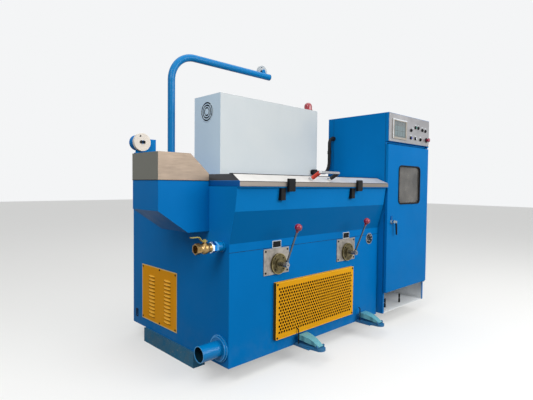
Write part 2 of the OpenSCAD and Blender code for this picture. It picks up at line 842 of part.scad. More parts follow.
module emergency_stop() {
    color("red") placed() at_panel(stop_spot, panel_front - 5) {
        cylinder(h = 11, r = button_r - 4);
        translate([0, 0, 11]) cylinder(h = 8, r1 = button_r - 4, r2 = button_r + 4);
        translate([0, 0, 19]) cylinder(h = 8, r = button_r + 4);
    }
}

module window_shape(grow) {
    translate([door_x + window_x - grow, door_high_h - window_drop - window_h - grow])
        rounded(window_w + 2 * grow, window_h + 2 * grow, window_r + grow);
}

module door() {
    color("#1478bd") placed() difference() {
        along_y(door_front, door_back) difference() {
            translate([door_x, door_low_h]) square([door_w, door_high_h - door_low_h]);
            window_shape(0);
        }
        for (z = [door_high_h - door_pin_l, door_low_h - 1])
            translate([door_hinge_x, door_hinge_y, z])
                cylinder(h = door_pin_l + 1, r = door_pin_r + pin_gap);
    }
}

module window_gasket() {
    color(black) placed() {
        along_y(door_front - 5, door_front) difference() {
            window_shape(6);
            window_shape(-gasket_w + 6);
        }
        along_y(door_front, door_back) difference() {
            window_shape(-seat);
            window_shape(-gasket_w + 6);
        }
    }
}

module window_glass() {
    mid = (door_front + door_back) / 2;
    color("#8a9aa0") placed() along_y(mid - 3, mid + 3) window_shape(-gasket_w + 6 - seat);
}

lock_px = door_x + lock_x;
lock_pz = (door_low_h + door_high_h) / 2 - lock_drop;

module door_lock() {
    color("silver") placed() translate([lock_px, door_front, lock_pz]) rotate([90, 0, 0]) difference() {
        union() {
            cylinder(h = 6, r = 22);
            translate([-14, 18, 0]) cube([28, 34, 6]);
        }
        translate([0, 0, -1]) cylinder(h = 8, r = 12);
    }
}

// Handle that stands clear of the door: a spindle, a crank to the side, and a lever that hangs from it
module door_handle() {
    back = door_front - 26;
    bar = 8;
    color("gainsboro") placed() {
        rod_y(lock_px, back - 10, door_front - seat, lock_pz, 11.9);
        along_y(back - 10, back) translate([lock_px, lock_pz]) {
            circle(r = 15);
            translate([-22, -bar]) square([crank_l + 22, 2 * bar]);
            translate([crank_l, 0]) rotate(5) {
                circle(r = bar);
                translate([-bar, -lever_l]) square([2 * bar, lever_l]);
                translate([0, -lever_l]) circle(r = bar);
            }
        }
    }
}

// Two pins on small brackets, which carry the door
module door_hinges() {
    color("dimgray") placed() {
        for (z = [door_high_h + 6, door_low_h - 12])
            block([door_hinge_x - 16, door_hinge_y - 8, z], [door_hinge_x + 4, cabinet_front, z + 6]);
        translate([door_hinge_x, door_hinge_y, door_high_h - door_pin_l + 1])
            cylinder(h = door_pin_l + 6, r = door_pin_r);
        translate([door_hinge_x, door_hinge_y, door_low_h - 7]) cylinder(h = door_pin_l + 6, r = door_pin_r);
    }
}

// Box-shaped guard of thin sheet, open at the back, with staggered rows of round holes in its face
module front_guard() {
    t = guard_t;
    field_l = guard_l - 2 * guard_margin;
    field_h = guard_h - 2 * guard_margin;
    columns = floor(field_l / guard_pitch);
    rows = floor(field_h / (guard_pitch * 0.866));
    x0 = guard_x + (guard_l - (columns - 0.5) * guard_pitch) / 2;
    z0 = guard_z + (guard_h - (rows - 1) * guard_pitch * 0.866) / 2;
    color("#eaa31a") placed() {
        along_y(-guard_out, -guard_out + t) difference() {
            translate([guard_x, guard_z]) square([guard_l, guard_h]);
            for (r = [0 : rows - 1], c = [0 : columns - 1])
                translate([x0 + (c + (r % 2) / 2) * guard_pitch, z0 + r * guard_pitch * 0.866])
                    circle(r = guard_hole_r, $fn = 16);
        }
        along_y(-guard_out + t, 0) difference() {
            translate([guard_x, guard_z]) square([guard_l, guard_h]);
            translate([guard_x + t, guard_z + t]) square([guard_l - 2 * t, guard_h - 2 * t]);
        }
    }
}

// Panel with two columns of pressed louvres
module louvre_panel() {
    y0 = louvre_panel_y;
    first = louvre_panel_z + 44;
    color("#d8931c") placed() {
        block([-louvre_panel_t, y0, louvre_panel_z],
            [0, y0 + louvre_panel_w, louvre_panel_z + louvre_panel_h]);
        for (c = [0.28, 0.725], i = [0 : louvre_count - 1])
            translate([-louvre_panel_t, y0 + louvre_panel_w * c, first + i * louvre_pitch])
                rotate([0, 0, -90]) louvre(louvre_l);
    }
}

module lever_plates() {
    color("#b9b7b4") placed() for (x = [lever_left_x - 14, lever_right_x - 14])
        block([x - lever_plate_w / 2, -lever_plate_t, lever_plate_z],
            [x + lever_plate_w / 2, 0, lever_plate_z + lever_plate_h]);
}

module lever_flanges() {
    color("#8f8355") placed() for (x = lever_xs) difference() {
        union() {
            rod_y(x, -lever_plate_t - lever_flange_t, -lever_plate_t, lever_z, lever_flange_r);
            rod_y(x, -lever_plate_t - lever_flange_t - 6, -lever_plate_t, lever_z, lever_flange_r * 0.48);
        }
        rod_y(x, -lever_plate_t - lever_flange_t - 7, -lever_plate_t - 4, lever_z, lever_shaft_r + pin_gap);
        for (a = [45 : 90 : 315])
            rod_y(x + 56 * cos(a), -lever_plate_t - lever_flange_t - 1, -lever_plate_t - 5,
                lever_z + 56 * sin(a), 5.5);
    }
}

lever_end_y = -lever_plate_t - lever_flange_t - lever_shaft_l;
lever_root_y = lever_end_y + 18;

// Shaft with a cross hole and the rod that leans out of it
module lever(x) {
    difference() {
        rod_y(x, lever_end_y, -lever_plate_t - 5, lever_z, lever_shaft_r);
        rod_y(x, lever_end_y - 1, lever_end_y + 6, lever_z, 6);
    }
    translate([x, lever_root_y, lever_z]) rotate([lever_lean, 0, 0]) {
        cylinder(h = lever_rod_l, r = lever_rod_r);
        cylinder(h = lever_shaft_r + 12, r = lever_rod_r + 4);
    }
}

module knob(x) {
    translate([x, lever_root_y, lever_z]) rotate([lever_lean, 0, 0]) difference() {
        union() {
            translate([0, 0, lever_rod_l + knob_r * 0.4]) sphere(r = knob_r);
            translate([0, 0, lever_rod_l - knob_r]) cylinder(h = knob_r, r = lever_rod_r + 3);
        }
        translate([0, 0, lever_rod_l - knob_r - 1]) cylinder(h = knob_r + 1.3, r = lever_rod_r + 0.2);
    }
}

module left_lever() {
    color("silver") placed() lever(lever_left_x);
}

module left_knob() {
    color("crimson") placed() knob(lever_left_x);
}

module right_lever() {
    color("silver") placed() lever(lever_right_x);
}

module right_knob() {
    color("crimson") placed() knob(lever_right_x);
}

// Round breather set in the front face
module round_vent() {
    x = body_l - 145;
    z = front_h - 92;
    color("#9aa0a4") placed() difference() {
        union() {
            rod_y(x, -5, 0, z, 50);
            rod_y(x, -9, 0, z, 40);
        }
        for (r = [14, 28], a = [0 : 60 : 359])
            rod_y(x + r * cos(a + r), -10, -4, z + r * sin(a + r), 4);
    }
}

module drain_pipe() {
    color("#1c86cf") placed() difference() {
        union() {
            rod_x(-drain_l, 0, drain_y, drain_z, drain_r);
            rod_x(-drain_flange_t, 0, drain_y, drain_z, drain_flange_r);
            rod_x(-2 * drain_flange_t - 2, 0, drain_y, drain_z, drain_flange_r - 8);
        }
        rod_x(-drain_l - 1, -drain_flange_t, drain_y, drain_z, drain_bore_r);
    }
}

// Painted nipple and plated union collar between the housing and the valve
module valve_nipple() {
    color(blue) placed() {
        rod_x(-nipple_l, 0, valve_y, valve_z, nipple_r);
        rod_x(-16, 0, valve_y, valve_z, nipple_r + 6);
    }
}

valve_x1 = -nipple_l - seat;
valve_x0 = valve_x1 - valve_l;
stem_x = valve_x1 - valve_l * 0.52;
stem_z = valve_z + 44;

// Ball valve with a hexagon at each end, a round middle and an open mouth
module valve_body() {
    hex_l = valve_l * 0.2;
    color("#c99a3c") placed() difference() {
        union() {
            for (x = [valve_x0, valve_x1 - hex_l]) translate([x, valve_y, valve_z]) rotate([0, 90, 0])
                cylinder(h = hex_l, r = valve_hex_r, $fn = 6);
            rod_x(valve_x0 + hex_l, valve_x1 - hex_l, valve_y, valve_z, nipple_r);
            translate([stem_x, valve_y, valve_z]) sphere(r = valve_hex_r + 1);
            translate([stem_x, valve_y, valve_z]) cylinder(h = stem_z - valve_z, r = 12);
        }
        rod_x(valve_x0 - 1, valve_x0 + 34, valve_y, valve_z, valve_bore_r);
    }
}

// Flat lever, cranked up from the stem's nut and running along the pipe when open
module valve_handle() {
    t = 4;
    rise = 28;
    z0 = stem_z + seat;
    color("#e3c32c") placed() {
        along_y(valve_y - 11, valve_y + 11) polygon([
            [stem_x + 14, z0], [stem_x - 20, z0], [stem_x - 46, z0 + rise],
            [stem_x - valve_handle_l, z0 + rise],
            [stem_x - valve_handle_l, z0 + rise + t], [stem_x - 44, z0 + rise + t],
            [stem_x - 18, z0 + t], [stem_x + 14, z0 + t]]);
        translate([stem_x, valve_y, z0]) cylinder(h = t + 8, r = 10, $fn = 6);
    }
}

pedal_back = -14;
pivot_y = pedal_back - pedal_l + 24;
pivot_z = pedal_z + pedal_base_t + 11;
tread_l = pedal_l - 38;
heel_half = 24;
cheek_t = 7;
cheek_x = heel_half + 8;

// Shelf, and on it a cast base with two cheeks at the heel that hold the treadle's pin
module pedal_bases() {
    color("#2a6f9e") placed() for (x = pedal_xs) {
        block([x - pedal_w / 2, -pedal_l * 0.7, clearance_h], [x + pedal_w / 2, 0, pedal_z]);
        difference() {
            union() {
                translate([x, 0, clearance_h + 2]) linear_extrude(shelf_t + pedal_base_t - 2) union() {
                    polygon([[-pedal_w / 2 + 2, pedal_back], [-pedal_w / 2 + 2, pedal_back - 54],
                        [-cheek_x - cheek_t - 2, pivot_y], [cheek_x + cheek_t + 2, pivot_y],
                        [pedal_w / 2 - 2, pedal_back - 54], [pedal_w / 2 - 2, pedal_back]]);
                    translate([0, pivot_y]) circle(r = cheek_x + cheek_t + 2);
                }
                for (s = [-cheek_x - cheek_t, cheek_x]) {
                    rod_x(x + s, x + s + cheek_t, pivot_y, pivot_z, 9);
                    block([x + s, pivot_y - 9, pedal_z + pedal_base_t - 1],
                        [x + s + cheek_t, pivot_y + 9, pivot_z]);
                }
            }
            rod_x(x - 60, x + 60, pivot_y, pivot_z, 4.05);
        }
    }
}

// Side view of the treadle: its back is an arc from the heel to the toe
module treadle_profile() {
    h = treadle_h;
    heel = [4, 10];
    toe = [tread_l - 10, h];
    chord = norm(toe - heel);
    arc_r = chord * chord / (8 * treadle_arch) + treadle_arch / 2;
    along = (toe - heel) / chord;
    centre = (toe + heel) / 2 + (arc_r - treadle_arch) * [along[1], -along[0]];
    intersection() {
        polygon([[-4, -6], [0, -6], [tread_l, h - 34], [tread_l, h - 6], [tread_l - 10, h + treadle_arch],
            [4, h + treadle_arch], [-4, 8]]);
        translate(centre) circle(r = arc_r, $fn = 180);
    }
}

// Hood-shaped treadle, wide at the toe end and narrow at its pivot by the heel
module treadle(x) {
    h = treadle_h;
    half = treadle_w / 2;
    translate([x, pivot_y, pivot_z]) difference() {
        union() {
            intersection() {
                along_x(-half - 1, half + 1) treadle_profile();
                translate([0, 0, -20]) linear_extrude(h + 60) polygon([[-heel_half, -8], [heel_half, -8],
                    [half, tread_l], [-half, tread_l]]);
            }
            rod_x(-heel_half - 1, heel_half + 1, 0, 0, 8.5);
            rod_x(-cheek_x - cheek_t, cheek_x + cheek_t, 0, 0, 4);
        }
        translate([0, 0, -20]) linear_extrude(24) polygon([[-heel_half + 5, 20], [heel_half - 5, 20],
            [half - 7, tread_l - 8], [-half + 7, tread_l - 8]]);
    }
}

module left_treadle() {
    color("#7fc4c4") placed() treadle(pedal_left_x);
}

module right_treadle() {
    color("#7fc4c4") placed() treadle(pedal_right_x);
}

// Short leads that come out of the guard and go down to the pedals' bases
module pedal_cables() {
    r = 14;
    top = guard_z + 38;
    y = -guard_out - 1 - r;
    foot = pedal_z + pedal_base_t + seat;
    color(black) placed() for (x = [pedal_left_x - pedal_w / 2 + 7, pedal_right_x - pedal_w / 2 + 7]) {
        rod_y(x, y + r, -guard_out - seat, top, cable_r);
        translate([x, y + r, top - r]) rotate([90, 0, -90]) rotate_extrude(angle = 90)
            translate([r, 0]) circle(r = cable_r);
        translate([x, y, foot]) cylinder(h = top - r - foot, r = cable_r);
    }
}

conduit_y = cabinet_back - conduit_inset;
conduit_top = rim_h + conduit_rise;
conduit_low = rim_h + gland_rise;
run_x = cabinet_x - gland_l - upper_bend;
gland_x = fan_x + fan_l - gland_inset;
gland_y = fan_y - gland_out;
conduit_turn = atan2(conduit_y - gland_y, run_x - gland_x);
run_l = norm([run_x - gland_x, conduit_y - gland_y]) - lower_bend;

// Flexible conduit from the cabinet's side down to the enclosure's front, with a coupling halfway
// down and a gland at each end
module conduit() {
    r = conduit_r;
    low_z = conduit_low + lower_bend;
    join_z = (conduit_top - upper_bend + low_z) / 2;
    color(black) placed() {
        rod_x(cabinet_x - gland_l - 2, cabinet_x - seat, conduit_y, conduit_top, r * 1.4);
        translate([cabinet_x - gland_l, conduit_y, conduit_top - upper_bend]) rotate([90, 0, 0])
            rotate_extrude(angle = 90, start = 90) translate([upper_bend, 0]) circle(r = r);
        translate([run_x, conduit_y, join_z]) cylinder(h = conduit_top - upper_bend - join_z, r = r);
        translate([run_x, conduit_y, join_z - r]) cylinder(h = 2 * r, r = r * 1.2);
        translate([run_x, conduit_y, low_z]) rotate([0, 0, conduit_turn]) {
            cylinder(h = join_z - low_z, r = r);
            translate([-lower_bend, 0, 0]) rotate([90, 0, 0]) rotate_extrude(angle = 90, start = -90)
                translate([lower_bend, 0]) circle(r = r);
            translate([-lower_bend, 0, -lower_bend]) rotate([0, -90, 0]) cylinder(h = run_l, r = r);
        }
        translate([gland_x, gland_y, conduit_low - 1.5 * r]) cylinder(h = 3 * r, r = r * 1.3);
        rod_y(gland_x, gland_y, fan_y - seat, conduit_low, r * 1.15);
        rod_y(gland_x, fan_y - 10, fan_y - seat, conduit_low, r * 1.6);
    }
}

skids();
lower_housing();
trough();
rear_housing();
back_covers();
lid();
lid_handle_bar();
lid_grips();
lid_catches();
latch_blocks();
entry_box();
entry_cover();
entry_sheave_bracket();
entry_sheave();
guide_arm();
arm_sheave();
fan_enclosure();
fan_vent();
beacon();
cabinet_shell();
cabinet_floor();
mounting_plate();
control_panel();
screen_bezel();
screen_glass();
push_buttons();
emergency_stop();
door();
window_gasket();
window_glass();
door_lock();
door_handle();
door_hinges();
front_guard();
louvre_panel();
lever_plates();
lever_flanges();
left_lever();
left_knob();
right_lever();
right_knob();
round_vent();
drain_pipe();
valve_nipple();
valve_body();
valve_handle();
pedal_bases();
left_treadle();
right_treadle();
pedal_cables();
conduit();
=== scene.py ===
import json
import math
import bmesh
import bpy
from mathutils import Matrix, Vector


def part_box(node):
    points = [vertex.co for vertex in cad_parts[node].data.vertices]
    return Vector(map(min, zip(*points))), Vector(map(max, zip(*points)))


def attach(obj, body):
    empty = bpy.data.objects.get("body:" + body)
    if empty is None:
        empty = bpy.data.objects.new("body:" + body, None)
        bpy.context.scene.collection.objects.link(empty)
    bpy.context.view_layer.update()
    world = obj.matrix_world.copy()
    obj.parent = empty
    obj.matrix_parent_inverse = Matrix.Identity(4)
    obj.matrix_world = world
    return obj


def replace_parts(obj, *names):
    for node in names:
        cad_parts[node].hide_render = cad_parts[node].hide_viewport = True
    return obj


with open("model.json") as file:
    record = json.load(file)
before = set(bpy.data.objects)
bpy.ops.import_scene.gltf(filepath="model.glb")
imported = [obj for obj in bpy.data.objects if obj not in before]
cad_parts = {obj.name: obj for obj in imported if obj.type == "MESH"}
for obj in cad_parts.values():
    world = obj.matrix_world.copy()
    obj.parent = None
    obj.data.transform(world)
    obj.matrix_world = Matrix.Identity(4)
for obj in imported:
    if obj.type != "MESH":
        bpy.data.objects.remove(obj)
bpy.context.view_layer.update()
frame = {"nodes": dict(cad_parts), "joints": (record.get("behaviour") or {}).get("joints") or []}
nodes = frame["nodes"]
print("frame loaded:", len(nodes), "nodes")

# The camera stands where the photograph was taken: its place and angles come from the machine's
# straight edges. focalPixels is for a frame as wide as framePixels, and sensorWidth is in millimetres.
camera = {
    "place": (-1.7331, -2.8551, 1.3147),
    "heading": 43.80,
    "pitch": -2.059,
    "roll": 0.574,
    "focalPixels": 421.97,
    "framePixels": 533,
    "sensorWidth": 36,
}


# Middle of a piece's box
def middle(name):
    low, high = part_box(name)
    return (low + high) / 2


# sRGB hex to linear RGBA
def linear(hexColour):
    parts = [int(hexColour[i:i + 2], 16) / 255 for i in (1, 3, 5)]
    return tuple(c / 12.92 if c <= 0.04045 else ((c + 0.055) / 1.055) ** 2.4 for c in parts) + (1,)


def addCamera():
    data = bpy.data.cameras.new("photoCamera")
    data.sensor_width = camera["sensorWidth"]
    data.lens = camera["focalPixels"] / camera["framePixels"] * data.sensor_width
    heading, pitch, roll = (math.radians(camera[k]) for k in ("heading", "pitch", "roll"))
    forward = Vector((math.sin(heading) * math.cos(pitch), math.cos(heading) * math.cos(pitch),
                      math.sin(pitch)))
    right = Vector((math.cos(heading), -math.sin(heading), 0))
    up = right.cross(forward)
    turnedRight = right * math.cos(roll) + up * math.sin(roll)
    turnedUp = up * math.cos(roll) - right * math.sin(roll)
    turn = Matrix((turnedRight, turnedUp, -forward)).transposed().to_4x4()
    obj = bpy.data.objects.new("photoCamera", data)
    obj.matrix_world = Matrix.Translation(camera["place"]) @ turn
    bpy.context.scene.collection.objects.link(obj)
    bpy.context.scene.camera = obj


addCamera()

# Materials are painted in object coordinates, which are metres in the machine's own frame, while every
# pattern's size is in millimetres. These are the sizes that finishes share.
pattern = {"drift": 620, "run": 110, "dust": 70, "gloss": 200, "rub": 80, "touch": 33, "smear": 140}
# How deep the relief of each kind of skin is, in metres
skinDepth = {"coat": 0.0006, "metal": 0.0004, "moulding": 0.0003, "gauze": 0.0012}
# Where a finish changes colour along a piece: metres from an edge of its box, or a share of its length
change = {"skidTop": 0.007, "lipHeight": 0.033, "lipEnd": 0.0015, "gripEnd": 0.03, "lockPlate": 0.035,
          "leverRod": 0.05, "zincRing": 0.78, "hexagon": 0.87}


def addNode(tree, kind, inputs=None, **settings):
    node = tree.nodes.new(kind)
    for key, value in settings.items():
        setattr(node, key, value)
    for key, value in (inputs or {}).items():
        if isinstance(value, bpy.types.NodeSocket):
            tree.links.new(value, node.inputs[key])
        else:
            node.inputs[key].default_value = value
    return node


# The node tree of a finish, its shader, and the socket that gives object coordinates
def wiring(material):
    tree = material.node_tree
    return tree, tree.nodes["Principled BSDF"], tree.nodes["place"].outputs["Object"]


def newFinish(name, colour):
    material = bpy.data.materials.new(name)
    material.use_nodes = True
    addNode(material.node_tree, "ShaderNodeTexCoord", name="place")
    tree, shader, place = wiring(material)
    shader.inputs["Base Color"].default_value = linear(colour)
    return material, tree, shader, place


# Mask of irregular patches from 0 to most. stretch draws them out along an axis where it is below 1.
def patches(tree, place, size, start, end, most=1.0, detail=4, stretch=(1, 1, 1)):
    where = addNode(tree, "ShaderNodeVectorMath", {0: place, 1: stretch}, operation="MULTIPLY").outputs[0]
    cloud = addNode(tree, "ShaderNodeTexNoise", {"Vector": where, "Scale": 1000 / size, "Detail": detail})
    return addNode(tree, "ShaderNodeMapRange", {"Value": cloud.outputs["Fac"], "From Min": start,
                                                "From Max": end, "To Max": most}).outputs["Result"]


# Lays a colour over the one that a finish has so far, where a mask is 1
def paintOver(material, mask, colour):
    tree, shader = wiring(material)[:2]
    base = shader.inputs["Base Color"]
    under = base.links[0].from_socket if base.links else tuple(base.default_value)
    tone = addNode(tree, "ShaderNodeMix", {0: mask, 6: under, 7: linear(colour)}, data_type="RGBA")
    tree.links.new(tone.outputs[2], base)


# How a finish catches the light: its roughness follows one mask, and the relief of its skin another
def addSkin(material, wear, rough, height, relief, depth):
    tree, shader = wiring(material)[:2]
    gloss = addNode(tree, "ShaderNodeMapRange", {"Value": wear, "To Min": rough[0], "To Max": rough[1]})
    tree.links.new(gloss.outputs["Result"], shader.inputs["Roughness"])
    skin = addNode(tree, "ShaderNodeBump", {"Height": height, "Strength": relief, "Distance": depth})
    tree.links.new(skin.outputs["Normal"], shader.inputs["Normal"])


# Sprayed enamel or powder coat on sheet: slow drift of shade, faint runs down the face, orange peel,
# dust that settles low down, and chips where things rub. sheen is the specular level, 0.5 for new gloss.
def sprayed(name, colour, shade, rough=(0.35, 0.5), sheen=0.3, peel=2.4, relief=0.12, dust=None,
            chips=None):
    material, tree, shader, place = newFinish(name, colour)
    paintOver(material, patches(tree, place, pattern["drift"], 0.3, 0.7), shade)
    paintOver(material, patches(tree, place, pattern["run"], 0.5, 0.85, 0.3, 5, (3, 3, 0.35)), shade)
    if dust:
        height = addNode(tree, "ShaderNodeSeparateXYZ", {0: place}).outputs["Z"]
        low = addNode(tree, "ShaderNodeMapRange", {"Value": height, "From Min": 0.1, "From Max": dust["top"],
                                                   "To Min": dust["amount"], "To Max": 0}).outputs["Result"]
        specks = patches(tree, place, pattern["dust"], 0.35, 0.7, 1, 6)
        settled = addNode(tree, "ShaderNodeMath", {0: low, 1: specks}, operation="MULTIPLY").outputs[0]
        paintOver(material, settled, dust["colour"])
    if chips:
        spots = patches(tree, place, chips["size"], chips["start"], chips["start"] + 0.05,
                        chips["amount"], 8)
        paintOver(material, spots, chips["colour"])
    shader.inputs["Specular IOR Level"].default_value = sheen
    addSkin(material, patches(tree, place, pattern["gloss"], 0.3, 0.7), rough,
            patches(tree, place, peel, 0.2, 0.8, 1, 2), relief, skinDepth["coat"])
    return material


# Bare metal: brush or lathe lines drawn out along the axis where stretch is small, and faint stains
def bareMetal(name, colour, shade, rough=(0.25, 0.45), line=8, stretch=(1, 1, 1), stain=170, relief=0.15,
              polish=1.0):
    material, tree, shader, place = newFinish(name, colour)
    lines = patches(tree, place, line, 0.3, 0.7, 1, 4, stretch)
    faint = addNode(tree, "ShaderNodeMath", {0: lines, 1: 0.35}, operation="MULTIPLY").outputs[0]
    paintOver(material, patches(tree, place, stain, 0.3, 0.7, 1, 6), shade)
    paintOver(material, faint, shade)
    shader.inputs["Metallic"].default_value = polish
    addSkin(material, lines, rough, lines, relief, skinDepth["metal"])
    return material


# Moulded plastic or rubber: fine grain, slightly paler where it is rubbed
def moulded(name, colour, shade, rough=(0.4, 0.6), grain=1.6, gloss=0.0, relief=0.2, sheen=0.3):
    material, tree, shader, place = newFinish(name, colour)
    paintOver(material, patches(tree, place, pattern["rub"], 0.4, 0.75, 1, 6), shade)
    shader.inputs["Coat Weight"].default_value = gloss
    shader.inputs["Specular IOR Level"].default_value = sheen
    addSkin(material, patches(tree, place, pattern["touch"], 0.3, 0.7), rough,
            patches(tree, place, grain, 0.2, 0.8, 1, 2), relief, skinDepth["moulding"])
    return material


# Sheet glass: see-through by mixing, with a faint smear in its colour and its gloss
def glazed(name, colour, cover, rough=0.06, smear="#8A8680"):
    material, tree, shader, place = newFinish(name, colour)
    paintOver(material, patches(tree, place, pattern["smear"], 0.35, 0.7, 0.5, 5), smear)
    shader.inputs["Alpha"].default_value = cover
    smears = patches(tree, place, pattern["smear"], 0.3, 0.7, 1, 5)
    wiped = addNode(tree, "ShaderNodeMapRange", {"Value": smears, "To Min": rough, "To Max": rough + 0.1})
    tree.links.new(wiped.outputs["Result"], shader.inputs["Roughness"])
    material.surface_render_method = "BLENDED"
    return material


# Gives the part of a piece past a plane another colour: limit is in metres along the axis
def colourPast(material, axis, test, limit, colour):
    tree, _, place = wiring(material)
    along = addNode(tree, "ShaderNodeSeparateXYZ", {0: place}).outputs[axis]
    past = addNode(tree, "ShaderNodeMath", {0: along, 1: limit}, operation=test).outputs[0]
    paintOver(material, past, colour)


# Gives the faces that look along a direction another colour. least is how closely they do, up to 1.
def colourFacing(material, direction, colour, least=0.6):
    tree = material.node_tree
    facing = addNode(tree, "ShaderNodeNewGeometry").outputs["Normal"]
    along = addNode(tree, "ShaderNodeVectorMath", {0: facing, 1: direction}, operation="DOT_PRODUCT")
    mask = addNode(tree, "ShaderNodeMath", {0: along.outputs["Value"], 1: least}, operation="GREATER_THAN")
    paintOver(material, mask.outputs[0], colour)


# Draws fine grooves across a piece along one of its axes, painted dark as their shade. pitch and depth are in
# millimetres.
def grooved(material, axes, pitch, colour, depth):
    tree, shader, place = wiring(material)
    along = addNode(tree, "ShaderNodeVectorMath", {0: place, 1: axes}, operation="DOT_PRODUCT")
    turns = addNode(tree, "ShaderNodeMath", {0: along.outputs["Value"], 1: 2000 * math.pi / pitch},
                    operation="MULTIPLY")
    wave = addNode(tree, "ShaderNodeMath", {0: turns.outputs[0]}, operation="SINE").outputs[0]
    groove = addNode(tree, "ShaderNodeMapRange", {"Value": wave, "From Min": 0.2, "From Max": 0.9,
                                                  "To Max": 0.75}).outputs["Result"]
    paintOver(material, groove, colour)
    skin = addNode(tree, "ShaderNodeBump", {"Height": wave, "Strength": 0.5, "Distance": depth / 1000,
                                            "Normal": shader.inputs["Normal"].links[0].from_socket})
    tree.links.new(skin.outputs["Normal"], shader.inputs["Normal"])


# blue machine enamel: sprayed, a flat saturated blue with a soft sheen
enamel = sprayed("blueEnamel", "#026EB4", "#0268AA", sheen=0.03, rough=(0.32, 0.46),
                 dust={"top": 0.34, "amount": 0.12, "colour": "#6F7F86"})
# the same enamel on the trough, painted a little lighter as painted light, with painted shade on the faces
# that look down
troughEnamel = sprayed("troughEnamel", "#0A76BC", "#0870B2", sheen=0.03, rough=(0.32, 0.46))
# painted shade: the faces that look down are painted a darker blue
colourFacing(troughEnamel, (0, -0.4, -0.917), "#025E99")
# the same enamel brushed thickly on the round pipes: glossy, so that the light runs along them
pipeEnamel = sprayed("pipeEnamel", "#0272B0", "#026CA6", sheen=0.16, rough=(0.18, 0.3), peel=3, relief=0.3)
# the same enamel painted pale: for the valve's hexagon, and as a painted highlight on the drain's mouth and
# flange edges
rubbedEnamel = sprayed("rubbedEnamel", "#5AA4DA", "#4492CC", sheen=0.2, rough=(0.35, 0.5))
# the same enamel on the skids, walked on and dragged: faded teal with bare spots
wornEnamel = sprayed("wornEnamel", "#225B7C", "#2D6E8E", sheen=0.12, rough=(0.55, 0.8),
                     dust={"top": 0.13, "amount": 0.4, "colour": "#5C6A6C"},
                     chips={"size": 16, "amount": 0.7, "start": 0.62, "colour": "#6F7C80"})
# painted highlight: a lighter band along the top edge of the skids
colourPast(wornEnamel, "Z", "GREATER_THAN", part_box("skids")[1].z - change["skidTop"], "#5E9CC0")
# fine pale grey powder coat of the fan enclosure: semi-gloss, slightly cool
greyPowder = sprayed("greyPowder", "#B6BBBC", "#ABB3B7", sheen=0.5, rough=(0.3, 0.42), peel=1.1, relief=0.15)
# painted light: the faces that look left are painted paler and bluer
colourFacing(greyPowder, (-1, 0, 0), "#BCD0DE")
# the duct behind its finger guard, in shade
darkGap = sprayed("darkGap", "#0E161C", "#0A1015", sheen=0.02, rough=(0.5, 0.65), peel=1.1)
# satin yellow powder coat of the guards: deep amber
yellowPowder = sprayed("yellowPowder", "#E69C0A", "#DA9006", sheen=0.08, rough=(0.45, 0.6), peel=1.4)
# the same coat on the guard, a folded tray whose faces that look left are painted dark brown, a painted shade
guardPowder = sprayed("guardPowder", "#DE9F16", "#D29410", sheen=0.08, rough=(0.45, 0.6), peel=1.4)
colourFacing(guardPowder, (-1, 0, 0), "#4A3A14")
# the same coat painted lighter: painted highlights on the louvre hoods and along the guard's edges
pressedYellow = sprayed("pressedYellow", "#F4B83E", "#E9AA2E", sheen=0.12, rough=(0.45, 0.6), peel=1.4)
# the same coat painted pale along the louvre sheet's edges: a painted highlight
rubbedYellow = sprayed("rubbedYellow", "#E6D08A", "#D9BE72", sheen=0.15, rough=(0.45, 0.6), peel=1.4)
# the same coat in the shade under each louvre
shadedYellow = sprayed("shadedYellow", "#8E5E10", "#7A500C", sheen=0.05, rough=(0.55, 0.7), peel=1.4)
# painted shade: a dark brown ring round each hole of the guard
punchedEdge = sprayed("punchedEdge", "#1E0E04", "#150A03", sheen=0.05, rough=(0.6, 0.75), peel=1.4)
# hammered teal paint of the cast treadles, with fine ribs drawn coarser than they are, their shade painted
# in, so that they show
tealPaint = sprayed("tealPaint", "#70B2BC", "#60A4B0", sheen=0.35, rough=(0.35, 0.5), peel=3.8, relief=0.5,
                    chips={"size": 11, "amount": 0.5, "start": 0.68, "colour": "#A9BFC0"})
# painted shade: dark lines along the treadles' ribs
grooved(tealPaint, (1, 0, 0), 12, "#3A7488", 1.2)
# hammered blue paint of the cast pedal bases, scuffed by shoes
castBlue = sprayed("castBlue", "#2A74A6", "#215F8C", sheen=0.25, rough=(0.4, 0.55), peel=3.8, relief=0.5,
                   dust={"top": 0.35, "amount": 0.3, "colour": "#5E6B70"})
# cream enamel of the entry sheave
creamEnamel = sprayed("creamEnamel", "#D2CBC1", "#BDB5AA", sheen=0.35, rough=(0.35, 0.5), peel=2)
# stainless sheet of the lid, brushed along its length and painted bright, a painted reflection on the slope;
# its lip is painted darker and its hipped ends that look left dark, a painted shade; the lip's ends are
# painted with the housing
lidSheet = bareMetal("brushedStainless", "#DEDBD7", "#C8C5C1", rough=(0.3, 0.42), line=4,
                     stretch=(0.02, 1, 1), polish=0.5)
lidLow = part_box("lid")[0]
colourPast(lidSheet, "Z", "LESS_THAN", lidLow.z + change["lipHeight"], "#857D75")
colourFacing(lidSheet, (-1, 0, 0), "#2B2C31")
colourPast(lidSheet, "X", "LESS_THAN", lidLow.x + change["lipEnd"], "#0A62A6")
# stainless sheet of the entry cover, in a warm tone; its faces that look left are painted darker, a painted
# shade
coverSheet = bareMetal("handledStainless", "#9A8978", "#8A7B6C", rough=(0.45, 0.6), line=4,
                       stretch=(0.05, 1, 1), polish=0.6)
colourFacing(coverSheet, (-1, 0, 0), "#6B6B63")
# brushed aluminium of the control panel
panelAlloy = bareMetal("brushedAlloy", "#ACABAD", "#979698", rough=(0.38, 0.5), line=4, stretch=(0.03, 1, 1))
# ground steel plates behind the levers, slightly tarnished
plateSteel = bareMetal("groundPlate", "#AAA39B", "#7D7974", rough=(0.4, 0.55), line=5, stretch=(1, 1, 0.05),
                       stain=40, polish=0.7)
# polished round bar and turned shafts
brightSteel = bareMetal("brightSteel", "#D4D4D4", "#A6A7AB", rough=(0.14, 0.28), line=3)
